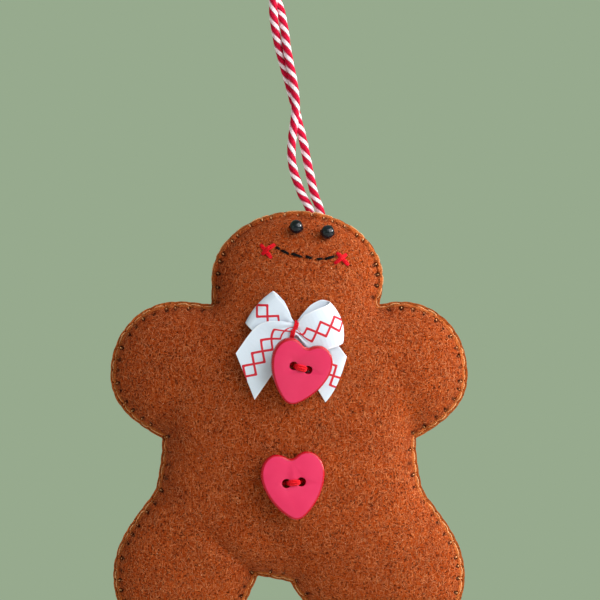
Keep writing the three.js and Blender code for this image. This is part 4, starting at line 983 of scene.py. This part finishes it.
# bow: one ribbon, from the left tail through the knot to both loops and out to the right tail
bow = {
    "knot": (1.3, 26.6), "width": 10.0, "thick": 0.2, "gather": 3.1, "pleat": 0.28, "slant": (3.4, 4.05),
    "stiff": 0.75, "clear": 0.25, "perStation": 8, "columns": 17,
    # right of and above the knot, lift over the felt, how far the gather is open, way of the width in degrees
    "stations": [
        (-11.7, -11.2, 2.9, 1, 147), (-9.0, -7.3, 2.85, 1, 146), (-7.0, -4.35, 2.85, 0.98, 143),
        (-5.2, -1.95, 2.9, 0.85, 134), (-2.9, -0.56, 3.15, 0.36, 114), (0, 0, 3.0, 0, 104),
        (2.4, -1.5, 3.15, 0.64, 110), (4.3, -1.0, 3.4, 0.96, 111), (6.9, 0.1, 3.6, 1, 111), (9.2, 1.0, 3.3, 1, 109),
        (10.0, 1.65, 2.3, 1, 108), (9.4, 1.95, 1.3, 1, 106), (7.8, 2.2, 1.0, 1, 103), (5.0, 1.6, 0.9, 0.86, 100),
        (2.4, 0.75, 1.25, 0.44, 98), (0, 0, 1.5, 0, 92), (-1.7, 0.5, 1.3, 0.28, 66), (-3.7, 1.5, 1.0, 0.66, 51),
        (-5.8, 3.3, 0.8, 0.95, 49), (-7.6, 4.9, 0.8, 1, 49), (-8.3, 5.35, 1.6, 1, 49), (-7.7, 4.5, 2.45, 1, 48),
        (-5.7, 2.5, 2.2, 0.97, 47), (-3.7, 1.2, 2.0, 0.66, 49), (-1.7, 0.35, 2.15, 0.28, 64), (0, 0, 2.25, 0, 66),
        (2.4, -1.7, 2.2, 0.32, 44), (5.4, -4.9, 2.0, 0.86, 30), (7.7, -8.3, 1.3, 1, 26), (9.9, -11.9, 0.6, 1, 24),
    ],
    # how far the loops' ends and the right tail's cut bow outwards, by station
    "bulge": {8: 0.3, 9: 1.0, 10: 1.3, 11: 1.0, 12: 0.3, 18: 0.3, 19: 0.6, 20: 0.7, 21: 0.5, 28: 0.2, 29: 1.0},
    "printShift": ((4.2, -0.95), (9.6, -1.1), (19.2, -0.8)),  # what the knot and the two folds take of the pattern
    "pattern": {"pitch": 3.66, "reach": 1.85, "line": 0.34},
}


# values eased from station to station without overshoot
def easeThrough(values, perSpan):
    steps = np.diff(values, axis=0)
    slopes = np.zeros_like(values)
    before, after = steps[:-1], steps[1:]
    alike = before * after > 0
    slopes[1:-1][alike] = (2 * before * after)[alike] / (before + after)[alike]
    t = np.linspace(0, 1, perSpan, endpoint=False)[:, None]
    rows = [values[i] + slopes[i] * t + (3 * steps[i] - 2 * slopes[i] - slopes[i + 1]) * t ** 2
            + (slopes[i] + slopes[i + 1] - 2 * steps[i]) * t ** 3 for i in range(len(steps))]
    return np.vstack(rows + [values[-1:]])


# how far the slanting cut shifts a row of the ribbon's tails
def tailSlant(row, count):
    shares = [max(0, 1 - row / bow["perStation"]), max(0, 1 - (count - row) / bow["perStation"])]
    return shares[0] * bow["slant"][0] - shares[1] * bow["slant"][1]


def makeBow():
    stations = np.array(bow["stations"], float)
    count = (len(stations) - 1) * bow["perStation"]
    middles = smoothPath(stations[:, :3], bow["perStation"])
    heading = np.gradient(middles, axis=0)
    heading /= np.linalg.norm(heading, axis=1)[:, None]
    spread = np.linspace(-1, 1, bow["columns"])
    bulges = np.array([[bow["bulge"].get(i, 0.0)] for i in range(len(stations))])
    opened = easeThrough(np.hstack([stations[:, 3:], bulges]), bow["perStation"])
    rows = []
    for i in range(count + 1):
        gather, lean, bulge = opened[i]
        width = bow["gather"] + (bow["width"] - bow["gather"]) * gather
        lean = math.radians(lean)
        slant = tailSlant(i, count)
        outward = np.array([math.sin(lean), -math.cos(lean)])
        outward *= math.copysign(bulge, outward @ middles[i, :2])
        centre = feltDepth(bow["knot"][0] + middles[i, 0], bow["knot"][1] + middles[i, 1])
        row = []
        for s in spread:
            x = bow["knot"][0] + middles[i, 0] + math.cos(lean) * s * width / 2 + heading[i, 0] * s * slant
            x += outward[0] * (1 - s * s)
            z = bow["knot"][1] + middles[i, 1] + math.sin(lean) * s * width / 2 + heading[i, 1] * s * slant
            z += outward[1] * (1 - s * s)
            pleat = bow["pleat"] * max(0, 1 - gather) ** 0.6 * math.cos(3 * math.pi * s + 0.6)
            under = feltDepth(x, z)
            high = under + bow["stiff"] * (centre - under) - middles[i, 2] - pleat
            row.append((x, min(high, under - bow["clear"]), z))
        rows.append(row)
    rows = np.array(rows)
    for turn in range(3):  # ease the small kinks that the felt's lumps print into the ribbon
        rows[1:-1, :, 1] = 0.25 * rows[:-2, :, 1] + 0.5 * rows[1:-1, :, 1] + 0.25 * rows[2:, :, 1]
        rows[:, 1:-1, 1] = 0.2 * rows[:, :-2, 1] + 0.6 * rows[:, 1:-1, 1] + 0.2 * rows[:, 2:, 1]
    run = lengthsAlong(rows[:, bow["columns"] // 2])
    printed = run.copy()
    for start, shift in bow["printShift"]:
        printed += shift * np.clip((np.arange(count + 1) / bow["perStation"] - start) / 1.6, 0, 1)
    faces, uv = [], []
    n = bow["columns"]
    for i in range(count):
        for k in range(n - 1):
            faces.append((i * n + k, i * n + k + 1, (i + 1) * n + k + 1, (i + 1) * n + k))
            for r, c in ((i, k), (i, k + 1), (i + 1, k + 1), (i + 1, k)):
                uv.append((printed[r] + tailSlant(r, count) * spread[c], spread[c] * bow["width"] / 2))
    piece = newPiece("bowRibbon", rows.reshape(-1, 3) + figureAt, faces, uv)
    useModifier(piece, "SOLIDIFY", thickness=bow["thick"] * mm, offset=0)
    useModifier(piece, "BEVEL", width=0.05 * mm, segments=2, limit_method="ANGLE", angle_limit=math.radians(60))
    return piece, run[-1]


def ribbonMaterial():
    material, shader, place, uv = newMaterial("diamondRibbon")
    words = bow["pattern"]
    along, across = mapParts(uv)
    saw = (along / words["pitch"]).sum("FRACT", 0)
    peak = (1 - ((saw - 0.5) * 2).sum("ABSOLUTE", 0)).sum("MINIMUM", 0.93) * words["reach"]
    offCentre = across.sum("ABSOLUTE", 0)
    fromLine = (offCentre - peak).sum("ABSOLUTE", 0)
    weave = uv.stretch((5.5, 22, 1)).grain(1, 2, 0.5)
    line = (words["line"] + 0.1 + (weave - 0.5) * 0.1 - fromLine).step(0, 0.1)
    yarn = ((along * 6.2).sum("SINE", 0) * 0.5 + (across * 30).sum("SINE", 0) * 0.35)
    edge = offCentre.step(4.45, 4.75)
    cloth = weave.step(0.3, 0.7).tint((0.635, 0.74, 0.865), (0.71, 0.80, 0.915))
    cloth = edge.tint(cloth, (0.76, 0.83, 0.92))
    tone = line.tint(cloth, weave.step(0.3, 0.7).tint((0.50, 0.001, 0.014), (0.72, 0.004, 0.030)))
    height = yarn * 0.25 + line * 1.5 + edge * 0.8
    feed(shader, {"Base Color": tone, "Roughness": 0.5 + line * 0.2, "Sheen Weight": 0.2, "Sheen Roughness": 0.35,
                  "Normal": height.bump(0.35, 0.00012)})
    return material


bowRibbon, ribbonRun = makeBow()
dress(bowRibbon, ribbonMaterial(), ["bow_ribbon"], angle=45)

wrap = {"turns": 3, "pitch": 0.36, "tall": 2.15, "deep": 1.42, "lift": 2.25, "radius": 0.19, "tilt": -15}


def makeWrap():
    tilt = math.radians(wrap["tilt"])
    right = np.array([math.cos(tilt), 0, math.sin(tilt)])
    up = np.array([-math.sin(tilt), 0, math.cos(tilt)])
    rows = []
    for share in np.linspace(0, 1, wrap["turns"] * 24 + 1):
        angle = 2 * math.pi * wrap["turns"] * share + math.pi / 2
        high, out = (math.copysign(abs(v) ** 0.65, v) for v in (math.cos(angle), math.sin(angle)))
        row = np.array([bow["knot"][0], 0, bow["knot"][1]])
        row = row + right * (share - 0.5) * wrap["turns"] * wrap["pitch"] + up * wrap["tall"] * high
        row[1] = feltDepth(row[0], row[2]) - wrap["lift"] - wrap["deep"] * out
        rows.append(row)
    return threadPiece("bowWrap", [np.array(rows) + figureAt], wrap["radius"], 8)


dress(makeWrap(), redFloss, ["bow_wrap"])
print("bow ribbon", round(float(ribbonRun), 1), "mm")


# heart buttons: a rounded plastic heart with two flared holes, sewn with three strands
heart = {
    "thick": 2.6, "round": 0.6, "holeSpacing": 3.6, "holeRadius": 1.05, "flare": 0.12, "raise": -0.62,
    "half": [(0, 6.32), (0.7, 6.46), (1.5, 6.98), (2.4, 7.45), (3.4, 7.68), (4.5, 7.58), (5.6, 7.06), (6.55, 6.18),
             (7.22, 4.95), (7.58, 3.55), (7.62, 2.2), (7.35, 0.6), (6.8, -1.1), (6.0, -2.8), (4.95, -4.4),
             (3.75, -5.85), (2.4, -7.15), (1.2, -8.0), (0, -8.28)],
    "buttons": {"belly_button": (6, 1, 0), "bow_button": (-17, 0.96, 0.6)},  # turn, size, rise of the holes
    "strands": 3, "strandRadius": 0.27, "packed": 0.9, "uneven": 0.03, "proud": 0.1, "threadBend": (-1.4, 0.6),
    # a strand up from a hole to the middle: share of the way out to the hole, spread, height over the button's back
    "strand": [(0.8, 0.5, -1.9), (0.8, 0.5, 1.0), (0.76, 0.6, 2.2), (0.56, 0.85, 2.76), (0.24, 1, 2.94)],
    # earlier rounds of the thread, deep in the holes
    "rounds": [(1.12, 0.42, 0.7), (1.42, 0.26, 0.45)],
}


def makeHeart(name, size, rise):
    half = np.array(heart["half"])
    ring = np.vstack([half, (half * (-1, 1))[-2:0:-1]])
    edge = evenly(smoothPath(np.vstack([ring, ring[:1]]), 8), 0.33)[:-1][::-1]
    edge = (edge + (0, heart["raise"])) * size - (0, rise)
    clearSelection()
    bpy.ops.mesh.primitive_circle_add(vertices=len(edge), radius=0.005, fill_type="NGON")
    button = bpy.context.object
    button.name = name
    for vertex, (x, y) in zip(button.data.vertices, edge):
        vertex.co = (x * mm, y * mm, 0)
    bpy.ops.object.mode_set(mode="EDIT")
    bpy.ops.mesh.select_all(action="SELECT")
    bpy.ops.mesh.extrude_region_move(TRANSFORM_OT_translate={"value": (0, 0, heart["thick"] * mm)})
    bpy.ops.mesh.select_all(action="SELECT")
    bpy.ops.mesh.normals_make_consistent(inside=False)
    bpy.ops.object.mode_set(mode="OBJECT")
    useModifier(button, "BEVEL", width=heart["round"] * mm, segments=5, profile=0.5, limit_method="ANGLE",
                angle_limit=math.radians(60), use_clamp_overlap=False)
    for side in (-1, 1):
        at = (side * heart["holeSpacing"] / 2 * mm, 0, heart["thick"] / 2 * mm)
        drillHole(button, heart["holeRadius"] * mm, 3 * heart["thick"] * mm, 40, at)
    useModifier(button, "BEVEL", width=heart["flare"] * mm, segments=3, limit_method="ANGLE",
                angle_limit=math.radians(70), use_clamp_overlap=True)
    top = np.array([vertex.co.z for vertex in button.data.vertices]) / mm
    mark = button.data.attributes.new("flatFace", "FLOAT", "POINT")
    mark.data.foreach_set("value", np.clip((top - heart["thick"] + 0.02) / 0.02, 0, 1).astype(np.float32))
    return button


# the button's own place and way, from its joint in the record
def buttonSeat(name, degrees):
    joint = next(j for j in frame["record"]["behaviour"]["joints"] if j["child"] == name)
    out = Vector(joint["axis"]).normalized()
    right = (Vector((1, 0, 0)) - out * out.x).normalized()
    up = out.cross(right)
    turn = math.radians(degrees)
    right, up = right * math.cos(turn) + up * math.sin(turn), up * math.cos(turn) - right * math.sin(turn)
    seat = Matrix((right, up, out)).transposed().to_4x4()
    seat.translation = Vector(joint["pos_m"])
    return seat


def buttonMaterial():
    material, shader, place, _ = newMaterial("heartPlastic")
    cloud = place.grain(160, 3, 0.55)
    wear = place.grain(1400, 4, 0.7)
    satinFaceAndSheen = attributeOf(place, "flatFace")
    tone = cloud.step(0.3, 0.7).tint((0.65, 0.018, 0.094), (0.69, 0.024, 0.107))
    # the flat face is painted pinker than the walls and rounded edges, a painted reflection of pale light on the face;
    # the walls keep the plastic's deep red, and the face mask also sets the face's satin roughness
    tone = satinFaceAndSheen.tint((0.46, 0.0004, 0.012), tone)
    feed(shader, {"Base Color": tone, "Roughness": wear.step(0.2, 0.9) * 0.12 + 0.2 + satinFaceAndSheen * 0.12, "IOR": 1.42,
                  "Normal": wear.bump(0.06, 0.00008)})
    return material


def buttonStrands(seat):
    paths = []
    x = heart["holeSpacing"] / 2
    wayOver = [(-out, wide, up) for out, wide, up in heart["strand"]] + heart["strand"][::-1]
    foot = heart["strand"][0][2]
    for k in range(heart["strands"]):
        shift = (k - (heart["strands"] - 1) / 2) * 2 * heart["strandRadius"] * heart["packed"]
        lift = heart["proud"] if k == 1 else 0
        rows = []
        for across, wide, up in wayOver:
            aside = shift * wide + random.uniform(-heart["uneven"], heart["uneven"])
            rows.append(np.array(seat @ Vector((across * x * mm, aside * mm, (up + lift) * mm))) / mm)
        paths.append(smoothPath(rows, 5))
    for side in (-1, 1):
        for far, wide, high in heart["rounds"]:
            rows = [(far, wide, foot), (far, wide, high - 0.5), (far + 0.06, 0, high), (far, -wide, high - 0.5),
                    (far, -wide, foot)]
            rows = [seat @ Vector((side * a * x * mm, b * mm, c * mm)) for a, b, c in rows]
            paths.append(smoothPath(np.array(rows) / mm, 5))
    return paths


heartPlastic = buttonMaterial()
for name, (degrees, size, rise) in heart["buttons"].items():
    seat = buttonSeat(name, degrees)
    label = name.split("_")[0]
    button = makeHeart(label + "HeartButton", size, rise)
    button.data.transform(seat)
    dress(button, heartPlastic, [name], body=name, angle=35)
    strands = threadPiece(label + "ButtonThread", buttonStrands(seat), heart["strandRadius"], 8)
    dress(strands, redFloss, [name + "_thread"], body=None)
    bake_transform(strands)
print("buttons are sewn on")

# loose fibres that lie on the felt, and a few that stand off it
fuzz = {"front": 17000, "back": 8000, "length": (0.6, 1.9), "width": 0.07, "stand": 0.08, "lean": 0.85, "curl": 0.28,
        "fromEdge": 0.9, "tones": ((0.30, 0.042, 0.006), (0.86, 0.31, 0.125))}


def makeFuzz():
    rows, tones = [], []
    for panel, count in ((front, fuzz["front"]), (back, fuzz["back"])):
        a, b, c = (panel["outer"][panel["triangles"][:, k]] for k in range(3))
        normal = np.cross(b - a, c - a)
        area = np.linalg.norm(normal, axis=1)
        area[panel["depth"][panel["triangles"]].min(axis=1) < fuzz["fromEdge"]] = 1e-9
        chosen = dice.choice(len(area), count, p=area / area.sum())
        out = normal[chosen] / np.linalg.norm(normal[chosen], axis=1)[:, None]
        out *= np.sign(out[:, 1] * panel["side"])[:, None]
        u, v = np.sqrt(dice.random(count))[:, None], dice.random(count)[:, None]
        root = a[chosen] * (1 - u) + b[chosen] * u * (1 - v) + c[chosen] * u * v
        lean = dice.normal(0, fuzz["lean"], count)
        long = np.column_stack([np.sin(lean), np.zeros(count), np.cos(lean)])
        long -= out * np.sum(long * out, axis=1)[:, None]
        long /= np.linalg.norm(long, axis=1)[:, None]
        aside = np.cross(out, long)
        reach = dice.uniform(*fuzz["length"], count)[:, None]
        curl = dice.normal(0, fuzz["curl"], count)[:, None]
        stand = np.abs(dice.normal(0, fuzz["stand"], count))[:, None]
        tone = dice.random(count)
        line = [root + long * reach * t + aside * curl * reach * t * t + out * (0.03 + stand * math.sin(2.5 * t))
                for t in (0, 0.35, 0.7, 1)]
        half = aside * fuzz["width"] / 2
        rows.append(np.stack([line[0] - half, line[0] + half, line[1] - half, line[1] + half,
                              line[2] - half * 0.8, line[2] + half * 0.8, line[3]], axis=1))
        tones.append(tone)
    points = np.vstack(rows)
    faces, uv = [], []
    for i, tone in enumerate(np.concatenate(tones)):
        k = i * 7
        faces += [(k, k + 1, k + 3, k + 2), (k + 2, k + 3, k + 5, k + 4), (k + 4, k + 5, k + 6)]
        uv += [(tone, 0.5)] * 11
    return newPiece("feltFuzz", points.reshape(-1, 3) + figureAt, faces, uv)


def fuzzMaterial():
    material, shader, place, uv = newMaterial("feltFibre")
    own, _ = mapParts(uv)
    tone = (own * own).tint(*fuzz["tones"])
    tone = (place.grain(2000) * 0.4).tint(tone, (0.2, 0.04, 0.008))
    feed(shader, {"Base Color": tone, "Roughness": 0.9, "Specular IOR Level": 0.2})
    return material


feltFuzz = makeFuzz()
dress(feltFuzz, fuzzMaterial(), [])
print("felt fibres", len(feltFuzz.data.polygons))
